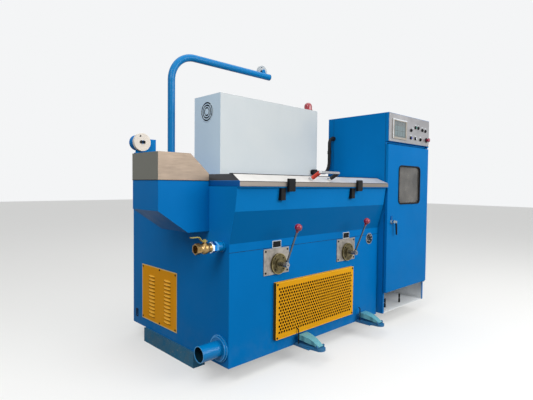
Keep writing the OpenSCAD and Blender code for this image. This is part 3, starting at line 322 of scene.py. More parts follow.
# chrome of the door's handle, whose grip is blacked, and of its lock, on a plate painted with the door
handleChrome = bareMetal("handleChrome", "#C3D2DA", "#93A6B0", rough=(0.1, 0.2), line=3)
colourPast(handleChrome, "Z", "LESS_THAN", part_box("door_handle")[1].z - change["gripEnd"], "#16212C")
lockChrome = bareMetal("lockChrome", "#C3D2DA", "#93A6B0", rough=(0.1, 0.2), line=3)
colourPast(lockChrome, "Z", "GREATER_THAN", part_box("door_lock")[0].z + change["lockPlate"], "#1272BC")
# the levers: bright turned shaft, and above it the rod, darkened by oil
leverSteel = bareMetal("leverSteel", "#A4A5A7", "#6E6F72", rough=(0.16, 0.3), line=5)
colourPast(leverSteel, "Z", "GREATER_THAN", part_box("lever_flanges")[1].z - change["leverRod"], "#59626B")
# zinc-plated sheet inside the cabinet: spangled, and painted nearly white as painted light in the recess
zincSheet = bareMetal("zincSheet", "#FAFCFC", "#EDF1F2", rough=(0.4, 0.6), stain=33, line=16, polish=0.05)
# oiled bronze of the lever flanges, and the same painted bright round each flange's rim: a painted highlight
bronze = bareMetal("oiledBronze", "#776D4E", "#423B29", rough=(0.28, 0.5), stain=25, line=7)
highlitBronze = bareMetal("turnedBronze", "#B5A87A", "#8E8159", rough=(0.22, 0.35), stain=25, line=5)
# brass valve body, with a bare zinc ring before its painted inner hexagon, and its dipped yellow lever
brass = bareMetal("machinedBrass", "#AB9066", "#7C643A", rough=(0.26, 0.42), stain=28, line=5)
valveLow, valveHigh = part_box("valve_body")
for mark, colour in (("zincRing", "#E6EAEC"), ("hexagon", "#1B7CCB")):
    colourPast(brass, "X", "GREATER_THAN", valveLow.x + change[mark] * (valveHigh.x - valveLow.x), colour)
yellowDip = sprayed("yellowDip", "#AC9F50", "#918439", sheen=0.3, rough=(0.4, 0.55), peel=3)
# turned aluminium of the arm's sheave
turnedAlloy = bareMetal("turnedAlloy", "#A3A9AD", "#83898E", rough=(0.3, 0.45), stain=55, line=8)
# painted shade: a dark blue-black for the inside of the drain and of the hand slot
pipeScale = sprayed("pipeScale", "#0C2A36", "#081C25", sheen=0.05, rough=(0.6, 0.8))
# moulded black plastic; black rubber, also used for dark strips of painted shade; and the conduit's nylon
# with its ribs drawn twice as coarse as they are
blackPlastic = moulded("blackPlastic", "#0F1012", "#191A1C", rough=(0.4, 0.58), sheen=0.12)
blackRubber = moulded("blackRubber", "#101113", "#1B1C1E", rough=(0.6, 0.8), grain=2, sheen=0.12)
ribbedNylon = moulded("ribbedNylon", "#17181B", "#232528", rough=(0.45, 0.6), sheen=0.2)
# painted shade: dark lines in the conduit's ribs
grooved(ribbedNylon, (1, 0, 1), 9, "#08090A", 1.5)
# silver moulded surround of the screen
silverPlastic = moulded("silverPlastic", "#A09A91", "#8E867B", rough=(0.4, 0.55), gloss=0.1)
# vinyl sleeves of the lid's handle: red on the left leg, black on the right
sleeveVinyl = moulded("sleeveVinyl", "#C93F2C", "#B03523", rough=(0.45, 0.6))
colourPast(sleeveVinyl, "X", "GREATER_THAN", middle("lid_grips").x, "#18191B")
# polished phenolic ball knobs and the caps of the push buttons
redKnob = moulded("redKnob", "#921236", "#7C0E2A", rough=(0.12, 0.22), gloss=0.4, relief=0.03)
greenCap = moulded("greenCap", "#1C7A68", "#166353", rough=(0.25, 0.4), gloss=0.3)
# white caps, also used for the painted highlight on the screen's surround
whiteCap = moulded("whiteCap", "#D9DDE2", "#C2C8D0", rough=(0.3, 0.45), gloss=0.2)
blueCap = moulded("blueCap", "#4A57B4", "#3C4898", rough=(0.25, 0.4), gloss=0.3)
# black of the signs, also used for dark strips of painted shade in seams and joints
labelBlack = moulded("labelBlack", "#0F1013", "#17181B", rough=(0.5, 0.65), sheen=0.1)
labelWhite = moulded("labelWhite", "#C9CFD3", "#B9C0C5", rough=(0.35, 0.5))
# translucent beacon lens
beaconLens = moulded("beaconLens", "#96202E", "#7A1420", rough=(0.1, 0.2), gloss=0.8, relief=0.02)
# smoked safety glass of the door, and the matt touch screen
doorGlass = glazed("doorGlass", "#4A4845", 0.8)
screenGlass = glazed("screenGlass", "#56656A", 0.98, rough=0.22)


# pressed wire gauze of the round breather in its pale rim; the wires are drawn three times as coarse as they
# are so that they show
def breatherGauze(name, centre, radius, wire=15):
    material, tree, shader, place = newFinish(name, "#9DA2A4")
    offset = addNode(tree, "ShaderNodeVectorMath", {0: place, 1: centre}, operation="SUBTRACT").outputs[0]
    flat = addNode(tree, "ShaderNodeVectorMath", {0: offset, 1: (1, 0, 1)}, operation="MULTIPLY").outputs[0]
    away = addNode(tree, "ShaderNodeVectorMath", {0: flat}, operation="LENGTH").outputs["Value"]
    inside = addNode(tree, "ShaderNodeMath", {0: away, 1: radius}, operation="LESS_THAN").outputs[0]
    cell = addNode(tree, "ShaderNodeTexVoronoi", {"Vector": place, "Scale": 1000 / wire}).outputs["Distance"]
    speck = addNode(tree, "ShaderNodeMapRange", {"Value": cell, "From Min": 0.25,
                                                 "From Max": 0.5}).outputs["Result"]
    hole = addNode(tree, "ShaderNodeMath", {0: inside, 1: speck}, operation="MULTIPLY").outputs[0]
    paintOver(material, inside, "#A2A4A4")
    paintOver(material, hole, "#1C2024")
    shader.inputs["Metallic"].default_value = 0.7
    addSkin(material, speck, (0.5, 0.35), speck, 0.6, skinDepth["gauze"])
    return material


gauze = breatherGauze("breatherGauze", middle("round_vent"), 0.044)

looks = {
    troughEnamel: ["trough"],
    enamel: ["lower_housing", "rear_housing", "back_covers", "entry_box", "entry_sheave_bracket",
             "cabinet_shell", "door", "door_hinges"],
    pipeEnamel: ["guide_arm", "drain_pipe", "valve_nipple"],
    wornEnamel: ["skids"],
    greyPowder: ["fan_enclosure", "fan_vent"],
    guardPowder: ["front_guard"],
    yellowPowder: ["louvre_panel"],
    tealPaint: ["left_treadle", "right_treadle"],
    castBlue: ["pedal_bases"],
    creamEnamel: ["entry_sheave"],
    lidSheet: ["lid"],
    coverSheet: ["entry_cover"],
    panelAlloy: ["control_panel"],
    plateSteel: ["lever_plates"],
    brightSteel: ["lid_handle_bar"],
    handleChrome: ["door_handle"],
    lockChrome: ["door_lock"],
    leverSteel: ["left_lever", "right_lever"],
    zincSheet: ["cabinet_floor", "mounting_plate"],
    bronze: ["lever_flanges"],
    brass: ["valve_body"],
    yellowDip: ["valve_handle"],
    turnedAlloy: ["arm_sheave"],
    gauze: ["round_vent"],
    silverPlastic: ["screen_bezel"],
    blackPlastic: ["lid_catches", "latch_blocks", "push_buttons"],
    blackRubber: ["window_gasket", "pedal_cables"],
    ribbedNylon: ["conduit"],
    sleeveVinyl: ["lid_grips"],
    redKnob: ["left_knob", "right_knob", "emergency_stop"],
    beaconLens: ["beacon"],
    doorGlass: ["window_glass"],
    screenGlass: ["screen_glass"],
}
for material, names in looks.items():
    for name in names:
        for slot in nodes[name].material_slots:
            slot.material = material
print("materials made:", len(bpy.data.materials))


# Shapes: each build function fills a bmesh, in the machine's own frame
def buildMesh(name, build, material):
    mesh = bpy.data.meshes.new(name)
    shape = bmesh.new()
    build(shape)
    bmesh.ops.recalc_face_normals(shape, faces=shape.faces)
    shape.to_mesh(mesh)
    shape.free()
    mesh.materials.append(material)
    return mesh


def linkObject(name, data):
    obj = bpy.data.objects.new(name, data)
    bpy.context.scene.collection.objects.link(obj)
    return obj


def ridePiece(name, mesh, body):
    obj = linkObject(name, mesh)
    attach(obj, body)
    return obj


def meshObject(name, build, material, body="machine"):
    return ridePiece(name, buildMesh(name, build, material), body)


# Edges that meet at some corners, each once, in the order in which the corners list them
def edgesOf(verts):
    return list(dict.fromkeys(e for v in verts for e in v.link_edges))


def addBox(shape, low, high, bevel=0.0):
    middle = [(a + b) / 2 for a, b in zip(low, high)]
    size = [b - a for a, b in zip(low, high)]
    place = Matrix.Translation(middle) @ Matrix.Diagonal((*size, 1))
    made = bmesh.ops.create_cube(shape, size=1, matrix=place)
    if bevel:
        bmesh.ops.bevel(shape, geom=edgesOf(made["verts"]), offset=bevel, segments=2, affect="EDGES")


# Short cylinder that starts at centre and runs depth along axis
def addDisc(shape, centre, axis, radius, depth, sides=32, bevel=0.0):
    turn = Vector(axis).to_track_quat("Z", "Y").to_matrix().to_4x4()
    place = Matrix.Translation(Vector(centre) + Vector(axis) * depth / 2) @ turn
    made = bmesh.ops.create_cone(shape, cap_ends=True, segments=sides, radius1=radius, radius2=radius,
                                 depth=depth, matrix=place)
    if bevel:
        rims = [e for e in edgesOf(made["verts"]) if any(len(f.verts) == sides for f in e.link_faces)]
        bmesh.ops.bevel(shape, geom=rims, offset=bevel, segments=2, affect="EDGES")


# Flat ring that starts at centre and runs depth along axis
def addRing(shape, centre, axis, outer, inner, depth, sides=48):
    turn = Vector(axis).to_track_quat("Z", "Y").to_matrix().to_4x4()
    place = Matrix.Translation(centre) @ turn
    loops = []
    for radius, height in ((inner, 0), (outer, 0), (outer, depth), (inner, depth)):
        loops.append([shape.verts.new(place @ Vector((radius * math.cos(a), radius * math.sin(a), height)))
                      for a in (2 * math.pi * i / sides for i in range(sides))])
    for near, far in zip(loops, loops[1:] + loops[:1]):
        for i in range(sides):
            shape.faces.new((near[i], near[(i + 1) % sides], far[(i + 1) % sides], far[i]))


# Shares of a small fastener's radius, or of its height for socketDepth
fastener = {"screwBevel": 0.14, "socketWall": 0.42, "socketDepth": 0.5, "dome": 0.45, "nutBevel": 0.12}


# Cap screw with a bevelled head and a round socket, standing on the origin
def capScrew(radius, height):
    def build(shape):
        addDisc(shape, (0, 0, 0), (0, 0, 1), radius, height, 20, radius * fastener["screwBevel"])
        crown = max(shape.faces, key=lambda f: f.calc_center_median().z)
        bmesh.ops.inset_region(shape, faces=[crown], thickness=radius * fastener["socketWall"])
        bmesh.ops.translate(shape, verts=crown.verts, vec=(0, 0, -height * fastener["socketDepth"]))
    return build


# Domed cap of a push button, standing on the origin
def domedCap(radius, height):
    bevel = min(radius, height) * fastener["dome"]
    return lambda shape: addDisc(shape, (0, 0, 0), (0, 0, 1), radius, height, 24, bevel)


# Hexagon nut standing on the origin
def hexNut(radius, height):
    bevel = radius * fastener["nutBevel"]
    return lambda shape: addDisc(shape, (0, 0, 0), (0, 0, 1), radius, height, 6, bevel)


# Geometry Nodes: one copy of a small piece on each point, turned to face outwards
def repeatTree(name, piece, material):
    tree = bpy.data.node_groups.new(name, "GeometryNodeTree")
    tree.interface.new_socket("Geometry", in_out="INPUT", socket_type="NodeSocketGeometry")
    turn = tree.interface.new_socket("Turn", in_out="INPUT", socket_type="NodeSocketVector")
    size = tree.interface.new_socket("Size", in_out="INPUT", socket_type="NodeSocketFloat")
    tree.interface.new_socket("Geometry", in_out="OUTPUT", socket_type="NodeSocketGeometry")
    entry = addNode(tree, "NodeGroupInput")
    single = addNode(tree, "GeometryNodeObjectInfo", {"Object": piece})
    toTurn = addNode(tree, "FunctionNodeEulerToRotation", {0: entry.outputs["Turn"]})
    placed = addNode(tree, "GeometryNodeInstanceOnPoints",
                     {"Points": entry.outputs["Geometry"], "Instance": single.outputs["Geometry"],
                      "Rotation": toTurn.outputs[0], "Scale": entry.outputs["Size"]})
    real = addNode(tree, "GeometryNodeRealizeInstances", {"Geometry": placed.outputs["Instances"]})
    dressed = addNode(tree, "GeometryNodeSetMaterial", {"Geometry": real.outputs["Geometry"],
                                                        "Material": material})
    leave = addNode(tree, "NodeGroupOutput")
    tree.links.new(dressed.outputs["Geometry"], leave.inputs[0])
    return tree, turn.identifier, size.identifier


# Puts copies of a small piece on points, facing outward, as one plain mesh
def repeatOn(name, build, points, outward, material, body="machine"):
    single = bpy.data.objects.new(name + ".one", buildMesh(name + ".one", build, material))
    tree, turnId, sizeId = repeatTree(name + ".nodes", single, material)
    spots = bpy.data.meshes.new(name + ".points")
    spots.from_pydata([tuple(p) for p in points], [], [])
    seed = linkObject(name + ".points", spots)
    modifier = seed.modifiers.new("copies", "NODES")
    modifier.node_group = tree
    modifier[turnId] = Vector(outward).to_track_quat("Z", "Y").to_euler()
    modifier[sizeId] = 1.0
    made = bpy.data.meshes.new_from_object(seed.evaluated_get(bpy.context.evaluated_depsgraph_get()))
    bpy.data.objects.remove(seed)
    bpy.data.objects.remove(single)
    return ridePiece(name, made, body)


front = (0, -1, 0)
left = (-1, 0, 0)
right = (1, 0, 0)
top = (0, 0, 1)
sink = 0.001  # how far a strip, a cap or a plug reaches into what it sits on
hair = 0.0004  # thickness of a rubbed edge, and the overlap where two dark surfaces meet
film = 0.0002  # how far a thin strip reaches into the sheet that it lies on
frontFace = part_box("lower_housing")[0].y
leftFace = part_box("lower_housing")[0].x


# Four points inset from the corners of a box's face. plane is (axis, value).
def corners(low, high, inset, plane):
    axis, value = plane
    a, b = [i for i in range(3) if i != axis]
    points = []
    for u in (low[a] + inset, high[a] - inset):
        for v in (low[b] + inset, high[b] - inset):
            point = [0, 0, 0]
            point[axis], point[a], point[b] = value, u, v
            points.append(point)
    return points


# Perforated guard: corner screws, painted shade round the holes, painted highlights on its edges, and a dark
# sheet of painted shade behind it
guard = {"inset": 0.013, "screwRadius": 0.0075, "screwHeight": 0.004, "sheet": 0.003, "pitch": 0.026,
         "rowShare": 0.866, "margin": 0.026, "holeRadius": 0.0054, "rimRadius": 0.0092, "rimThick": 0.0004,
         "edge": 0.005, "edgeThick": 0.0003, "backingInset": 0.004, "backingBack": 0.012, "backing": 0.002}
low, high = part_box("front_guard")
rowPitch = guard["pitch"] * guard["rowShare"]
points = corners(low, high, guard["inset"], (1, low.y))
repeatOn("guard_screws", capScrew(guard["screwRadius"], guard["screwHeight"]), points, front, blackPlastic)
field = [high.x - low.x - 2 * guard["margin"], high.z - low.z - 2 * guard["margin"]]
columns, rows = int(field[0] / guard["pitch"]), int(field[1] / rowPitch)
firstX = low.x + (high.x - low.x - (columns - 0.5) * guard["pitch"]) / 2
firstZ = low.z + (high.z - low.z - (rows - 1) * rowPitch) / 2
points = [(firstX + (column + row % 2 / 2) * guard["pitch"], low.y, firstZ + row * rowPitch)
          for row in range(rows) for column in range(columns)]
# Painted shade: a dark ring round each hole
repeatOn("guard_hole_rims", lambda shape: addRing(
    shape, (0, 0, 0), top, guard["rimRadius"], guard["holeRadius"], guard["rimThick"], 10), points, front,
    punchedEdge)


# Strips of one width along the four edges of a face, from low to high, on the plane axis = value
def edgeStrips(shape, low, high, width, plane, proud):
    axis, value = plane
    a, b = [i for i in range(3) if i != axis]
    for u0, u1, v0, v1 in ((low[a], high[a], high[b] - width, high[b]),
                           (low[a], high[a], low[b], low[b] + width),
                           (low[a], low[a] + width, low[b] + width, high[b] - width),
                           (high[a] - width, high[a], low[b] + width, high[b] - width)):
        near, far = [0, 0, 0], [0, 0, 0]
        near[axis], far[axis] = value - proud, value + film
        near[a], far[a], near[b], far[b] = u0, u1, v0, v1
        addBox(shape, near, far)


# Painted shade: a dark sheet behind the guard, seen through its holes
def guardShadeSheet(shape):
    inset, near = guard["backingInset"], low.y + guard["backingBack"]
    addBox(shape, (low.x + inset, near, low.z + inset),
           (high.x - inset, near + guard["backing"], high.z - inset))


# Painted highlight: pale strips along the four edges of the guard's face
meshObject("guard_edges", lambda shape: edgeStrips(
    shape, low, high, guard["edge"], (1, low.y), guard["edgeThick"]), pressedYellow)
meshObject("guard_backing", guardShadeSheet, blackRubber)

# Louvred panel: a sheet with two columns of pressed hoods that open downwards. A share is of a hood's own
# size or of the panel's width, and a low roundness makes the hood's ends blunt.
louvre = {"rows": 12, "columns": (0.252, 0.697), "bottom": 0.052, "top": 0.08, "length": 0.1,
          "height": 0.0125, "proud": 0.0105, "steps": 8, "shade": 0.009, "slitShare": 0.88,
          "shadeShare": 0.96, "edge": 0.006, "screwInset": 0.018, "middleShare": 0.47, "middleInset": 0.014,
          "roundness": 0.4, "footShare": 0.1, "ridgeShare": 0.985, "slitStart": 0.0012, "slitTop": 0.82,
          "slitHalf": 0.0005, "shadeStart": 0.0001, "shadeEnd": 0.0006, "bevel": 0.001}
low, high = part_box("louvre_panel")
panelWidth, panelHeight = high.y - low.y, high.z - low.z
sheetFace = leftFace - guard["sheet"]
pitch = (panelHeight - louvre["top"] - louvre["bottom"]) / (louvre["rows"] - 1)


# Hood of one louvre, lying on the XY plane with its mouth towards -Y: rounded ends, highest at the mouth
def louvreHood(shape):
    half, tall, proud, steps = louvre["length"] / 2, louvre["height"], louvre["proud"], louvre["steps"]
    ridge, foot = [], []
    for k in range(steps + 1):
        u = -half + 2 * half * k / steps
        rise = math.sin(math.pi * k / steps) ** louvre["roundness"]
        foot.append(shape.verts.new((u, tall / 2 * rise - tall * louvre["footShare"], 0)))
        ridge.append(shape.verts.new((u * louvre["ridgeShare"], -tall / 2, proud * rise)))
    floor = [shape.verts.new((v.co.x, -tall / 2, 0)) for v in ridge]
    for k in range(steps):
        shape.faces.new((foot[k], foot[k + 1], ridge[k + 1], ridge[k]))
        shape.faces.new((ridge[k], ridge[k + 1], floor[k + 1], floor[k]))
        shape.faces.new((floor[k], floor[k + 1], foot[k + 1], foot[k]))
    bmesh.ops.remove_doubles(shape, verts=shape.verts, dist=film)


# The louvre's dark mouth, and the shade that it throws on the sheet below
def louvreSlit(shape):
    half, mouth = louvre["length"] / 2, -louvre["height"] / 2
    slit, shade = half * louvre["slitShare"], half * louvre["shadeShare"]
    addBox(shape, (-slit, mouth - louvre["slitHalf"], louvre["slitStart"]),
           (slit, mouth + louvre["slitHalf"], louvre["proud"] * louvre["slitTop"]))
    addBox(shape, (-shade, mouth - louvre["shade"], louvre["shadeStart"]), (shade, mouth, louvre["shadeEnd"]))


panelSheet = meshObject("louvre_sheet", lambda shape: addBox(
    shape, (sheetFace, low.y, low.z), (leftFace, high.y, high.z), louvre["bevel"]), yellowPowder)
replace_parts(panelSheet, "louvre_panel")
# Painted highlight: pale strips along the four edges of the louvre sheet
meshObject("louvre_sheet_edges", lambda shape: edgeStrips(
    shape, low, high, louvre["edge"], (0, sheetFace), guard["edgeThick"]), rubbedYellow)
points = [(sheetFace, low.y + panelWidth * column, low.z + louvre["bottom"] + row * pitch)
          for column in louvre["columns"] for row in range(louvre["rows"])]
# painted highlight: the hoods are painted lighter than the sheet
repeatOn("louvre_hoods", louvreHood, points, left, pressedYellow)
repeatOn("louvre_slits", louvreSlit, points, left, shadedYellow)
points = corners(low, high, louvre["screwInset"], (0, sheetFace))
points += [(sheetFace, low.y + panelWidth * louvre["middleShare"], z)
           for z in (low.z + louvre["middleInset"], high.z - louvre["middleInset"])]
repeatOn("louvre_panel_screws", capScrew(guard["screwRadius"], guard["screwHeight"]), points, left,
         blackPlastic)
print("guards dressed")

# Gear lever stations: plate screws, flange bolts in their counterbores, a painted highlight on each rim, and
# a sign above
lever = {"boltCircle": 0.056, "boltRadius": 0.0055, "boltHeight": 0.006, "counterbore": 0.004, "hub": 0.006,
         "rimWidth": 0.0035, "rimThick": 0.0008, "plateInset": 0.017, "screwRadius": 0.0075,
         "screwHeight": 0.003, "signWidth": 0.088, "signHeight": 0.052, "signThick": 0.0015, "signRim": 0.005,
         "signFace": 0.0024, "signGap": 0.001, "signLeft": 0.01}
flangeLow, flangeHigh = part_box("lever_flanges")
flangeRadius = (flangeHigh.z - flangeLow.z) / 2
shafts = [flangeLow.x + flangeRadius, flangeHigh.x - flangeRadius]
shaftZ = flangeLow.z + flangeRadius
flangeFace = flangeLow.y + lever["hub"]
low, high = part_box("lever_plates")
plateWidth = high.x - low.x - (shafts[1] - shafts[0])
bolts, screws = [], []
for station, x in enumerate(shafts):
    for angle in (45, 135, 225, 315):
        a = math.radians(angle)
        bolts.append((x + lever["boltCircle"] * math.cos(a), flangeFace + lever["counterbore"],
                      shaftZ + lever["boltCircle"] * math.sin(a)))
    plateLeft = low.x + station * (shafts[1] - shafts[0])
    for u in (plateLeft + lever["plateInset"], plateLeft + plateWidth - lever["plateInset"]):
        for z in (low.z + lever["plateInset"], high.z - lever["plateInset"]):
            screws.append((u, low.y, z))
repeatOn("flange_bolts", capScrew(lever["boltRadius"], lever["boltHeight"]), bolts, front, blackPlastic)
repeatOn("lever_plate_screws", capScrew(lever["screwRadius"], lever["screwHeight"]), screws, front,
         blackPlastic)


def flangeHighlights(shape):
    for x in shafts:
        addRing(shape, (x, flangeFace, shaftZ), front, flangeRadius, flangeRadius - lever["rimWidth"],
                lever["rimThick"])


def signPlates(shape, inner):
    rim = lever["signRim"] if inner else 0
    proud = lever["signFace"] if inner else lever["signThick"]
    bottom = high.z + lever["signGap"]
    for x in shafts:
        near = x - lever["signLeft"] - lever["signWidth"] / 2
        addBox(shape, (near + rim, frontFace - proud, bottom + rim),
               (near + lever["signWidth"] - rim, frontFace, bottom + lever["signHeight"] - rim))


meshObject("flange_rims", flangeHighlights, highlitBronze)
meshObject("lever_sign_rims", lambda shape: signPlates(shape, False), labelWhite)
meshObject("lever_signs", lambda shape: signPlates(shape, True), labelBlack)
print("lever stations dressed")

# Lid: dark strips of painted shade in the fold where the slope meets the lip, across the top, and under the
# lip
lid = {"jointHeight": 0.0035, "jointProud": 0.0006, "jointInset": 0.001, "sealHeight": 0.0018,
       "sealInset": 0.001, "sealWidth": 0.016, "endGap": 0.004, "ridgeInset": 0.104, "ridgeWidth": 0.008,
       "ridgeHeight": 0.005, "ridgeBevel": 0.001}
low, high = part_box("lid")
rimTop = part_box("trough")[1].z


def foldShade(shape):
    z = low.z + change["lipHeight"]
    addBox(shape, (low.x + lid["jointInset"], low.y - lid["jointProud"], z - lid["jointHeight"]),
           (high.x - lid["jointInset"], low.y + sink, z))


def lipShade(shape):
    near = low.y + lid["sealInset"]
    addBox(shape, (low.x + lid["endGap"], near, rimTop),
           (high.x - lid["endGap"], near + lid["sealWidth"], rimTop + lid["sealHeight"]))


def hingeShade(shape):
    near = low.y + lid["ridgeInset"]
    addBox(shape, (low.x + lid["endGap"], near, high.z - film),
           (high.x - lid["endGap"], near + lid["ridgeWidth"], high.z + lid["ridgeHeight"]), lid["ridgeBevel"])


meshObject("lid_joint", foldShade, blackRubber, "lid")
meshObject("lid_ridge", hingeShade, blackRubber, "lid")
meshObject("rim_seal", lipShade, blackRubber)
print("lid dressed")

# Entry: a dark strip of painted shade under the cover's lower edge; the sheave's axle ends in two black caps
# with a disc between them, partly painted shade in its hub
entry = {"seal": 0.003, "proud": 0.0006, "capRadius": 0.011, "capDepth": 0.009, "capOffset": 0.009,
         "capBack": 0.004, "discRadius": 0.0099, "discDepth": 0.0063, "capBevel": 0.001}
low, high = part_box("entry_cover")


# Painted shade: a dark strip under the cover's lower edge
def coverShadow(shape):
    addBox(shape, (low.x - entry["proud"], low.y - entry["proud"], low.z - entry["seal"]),
           (high.x + 0.002, high.y + entry["proud"], low.z + hair))


# The axle's end: black caps and a disc, partly real caps and partly painted shade in the sheave's hub
def axleCapsAndShade(shape):
    x, z = middle("entry_sheave").x, middle("entry_sheave").z
    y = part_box("entry_sheave")[0].y + entry["capBack"]
    cap, disc = (entry["capRadius"], entry["capDepth"]), (entry["discRadius"], entry["discDepth"])
    for offset, size in ((-entry["capOffset"], cap), (entry["capOffset"], cap), (0, disc)):
        addDisc(shape, (x + offset, y, z), front, *size, 24, entry["capBevel"])


meshObject("entry_cover_seal", coverShadow, blackRubber)
meshObject("sheave_axle_caps", axleCapsAndShade, blackPlastic, "entry_sheave")
print("entry dressed")

# Housing: painted shade, a black strip in the seam above the front panel
seam = {"rise": 0.757, "width": 0.003, "depth": 0.0036, "inset": 0.001}


def seamShade(shape):
    low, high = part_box("lower_housing")
    bottom = low.z + seam["rise"]
    addBox(shape, (low.x + seam["inset"], low.y + hair, bottom - hair),
           (high.x - seam["inset"], low.y + seam["depth"], bottom + seam["width"] + hair))


meshObject("seam_fill", seamShade, labelBlack)

# Drain: painted highlights on the edges of the mouth and of both flanges, and dark painted shade inside it
drain = {"radius": 0.054, "wall": 0.005, "edge": 0.006, "lining": 0.12, "liningStart": 0.004, "stop": 0.003,
         "flanges": ((0.01, 0.09), (0.022, 0.082))}
# The hand slot behind it: rubber strips round a dark block of painted shade inside it. Halves are measured
# from its middle.
handSlot = {"fromBack": 0.067, "rise": 0.092, "sideStrip": 0.0155, "endStrip": 0.03, "halfStrip": 0.005,
            "halfHeight": 0.033, "halfWidth": 0.012, "proud": 0.0016, "insideWidth": 0.0105,
            "insideHeight": 0.0262, "insideStart": 0.004, "insideEnd": 0.02, "rounding": 0.004}
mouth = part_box("drain_pipe")[0].x
drainY, drainZ = middle("drain_pipe").y, middle("drain_pipe").z
bore = drain["radius"] - drain["wall"]
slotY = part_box("lower_housing")[1].y - handSlot["fromBack"]
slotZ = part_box("lower_housing")[0].z + handSlot["rise"]


def slotEdging(shape):
    near, far, half = leftFace - handSlot["proud"], leftFace + sink, handSlot["halfStrip"]
    for side in (-1, 1):
        y, z = slotY + side * handSlot["sideStrip"], slotZ + side * handSlot["endStrip"]
        addBox(shape, (near, y - half, slotZ - handSlot["halfHeight"]),
               (far, y + half, slotZ + handSlot["halfHeight"]), 0.0006)
        addBox(shape, (near, slotY - handSlot["halfWidth"], z - half),
               (far, slotY + handSlot["halfWidth"], z + half), 0.0006)


# Painted highlight: pale rings on the edges of the mouth and of both flanges
def highlightRims(shape):
    addRing(shape, (mouth, drainY, drainZ), left, drain["radius"], bore, hair)
    for out, radius in drain["flanges"]:
        addRing(shape, (leftFace - out, drainY, drainZ), left, radius, radius - drain["edge"], hair)


# Painted shade: a dark sheet round the drain's bore and across its end, and a dark block inside the hand slot
def shadeInsideHoles(shape):
    addRing(shape, (mouth + drain["liningStart"], drainY, drainZ), right, bore + 0.0003, bore - 0.0006,
            drain["lining"])
    addDisc(shape, (mouth + drain["lining"], drainY, drainZ), right, bore, drain["stop"])
    wide, tall = handSlot["insideWidth"], handSlot["insideHeight"]
    addBox(shape, (leftFace + handSlot["insideStart"], slotY - wide, slotZ - tall),
           (leftFace + handSlot["insideEnd"], slotY + wide, slotZ + tall), handSlot["rounding"])


meshObject("drain_rims", highlightRims, rubbedEnamel)
meshObject("dark_linings", shadeInsideHoles, pipeScale)
meshObject("slot_edging", slotEdging, blackRubber)

# Valve: painted hexagon between the brass body and the nipple
union = {"radius": 0.037, "length": 0.022, "overlap": 0.004, "bevel": 0.003}
nipple = middle("valve_nipple")
meshObject("valve_union", lambda shape: addDisc(
    shape, (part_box("valve_body")[1].x - union["overlap"], nipple.y, nipple.z), right, union["radius"],
    union["length"], 6, union["bevel"]), rubbedEnamel)

# Fan enclosure: a finger guard of wire rings and struts over the dark duct, and a black ring under the beacon
fan = {"rings": ((0.082, 0.0755), (0.064, 0.056), (0.0445, 0.0365)), "hub": 0.025, "sheet": 0.003,
       "struts": 4, "strut": 0.0032, "strutThick": 0.0024, "duct": 0.0755, "ductThick": 0.0006,
       "ductBack": 0.0009, "collarProud": 0.001, "collar": 0.01}
ventLow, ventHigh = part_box("fan_vent")
ventMiddle = middle("fan_vent")


def fingerGuard(shape):
    face = (ventLow.x, ventMiddle.y, ventMiddle.z)
    for outer, inner in fan["rings"]:
        addRing(shape, face, right, outer, inner, fan["sheet"])
    addDisc(shape, face, right, fan["hub"], fan["sheet"])
    for k in range(fan["struts"]):
        strut = bmesh.ops.create_cube(shape, size=1)["verts"]
        turn = Matrix.Rotation((k + 0.5) * 2 * math.pi / fan["struts"], 4, "X")
        outward = Matrix.Translation((0, 0, fan["duct"] / 2))
        size = Matrix.Diagonal((fan["strutThick"], fan["strut"], fan["duct"], 1))
        bmesh.ops.transform(shape, verts=strut, matrix=Matrix.Translation(ventMiddle) @ turn @ outward @ size)


beaconLow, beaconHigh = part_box("beacon")
beaconMiddle = middle("beacon")
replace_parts(meshObject("finger_guard", fingerGuard, greyPowder), "fan_vent")
meshObject("fan_duct", lambda shape: addDisc(
    shape, (ventHigh.x - fan["ductBack"], ventMiddle.y, ventMiddle.z), right, fan["duct"],
    fan["ductThick"]), darkGap)
meshObject("beacon_ring", lambda shape: addDisc(
    shape, (beaconMiddle.x, beaconMiddle.y, beaconLow.z), top,
    (beaconHigh.x - beaconLow.x) / 2 + fan["collarProud"], fan["collar"], 40, 0.001), blackPlastic)
print("fan enclosure dressed")

# Guide arm: the tube's end is stopped with a black plug
arm = {"plug": 0.005, "plugRadius": 0.0305, "sheaveGap": 0.046, "height": 2.38}
low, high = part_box("guide_arm")
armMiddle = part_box("arm_sheave")[0].y - arm["sheaveGap"]
meshObject("arm_plug", lambda shape: addDisc(
    shape, (high.x - sink, armMiddle, arm["height"]), right, arm["plugRadius"], arm["plug"], 32, 0.0015),
    blackPlastic)

# Control panel: coloured caps on the buttons, blank tags above them, tiles on the screen, corner screws.
# Places are (across from the panel's left end, up from its bottom edge) in metres.
panel = {
    "caps": {greenCap: [(0.5, 0.165)], blueCap: [(0.409, 0.057)], whiteCap: [(0.502, 0.057)]},
    "dark": [(0.445, 0.131), (0.557, 0.165), (0.644, 0.153), (0.710, 0.149), (0.606, 0.054)],
    "capRadius": 0.0105, "capHeight": 0.0016, "tag": (0.03, 0.008, 0.0008), "tagRise": 0.026,
    "screwRadius": 0.005, "screwHeight": 0.0025, "screwInset": 0.012,
}
panelLow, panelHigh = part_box("control_panel")
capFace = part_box("push_buttons")[0].y


def panelSpots(spots, face, rise=0.0):
    return [(panelLow.x + x, face, panelLow.z + z + rise) for x, z in spots]


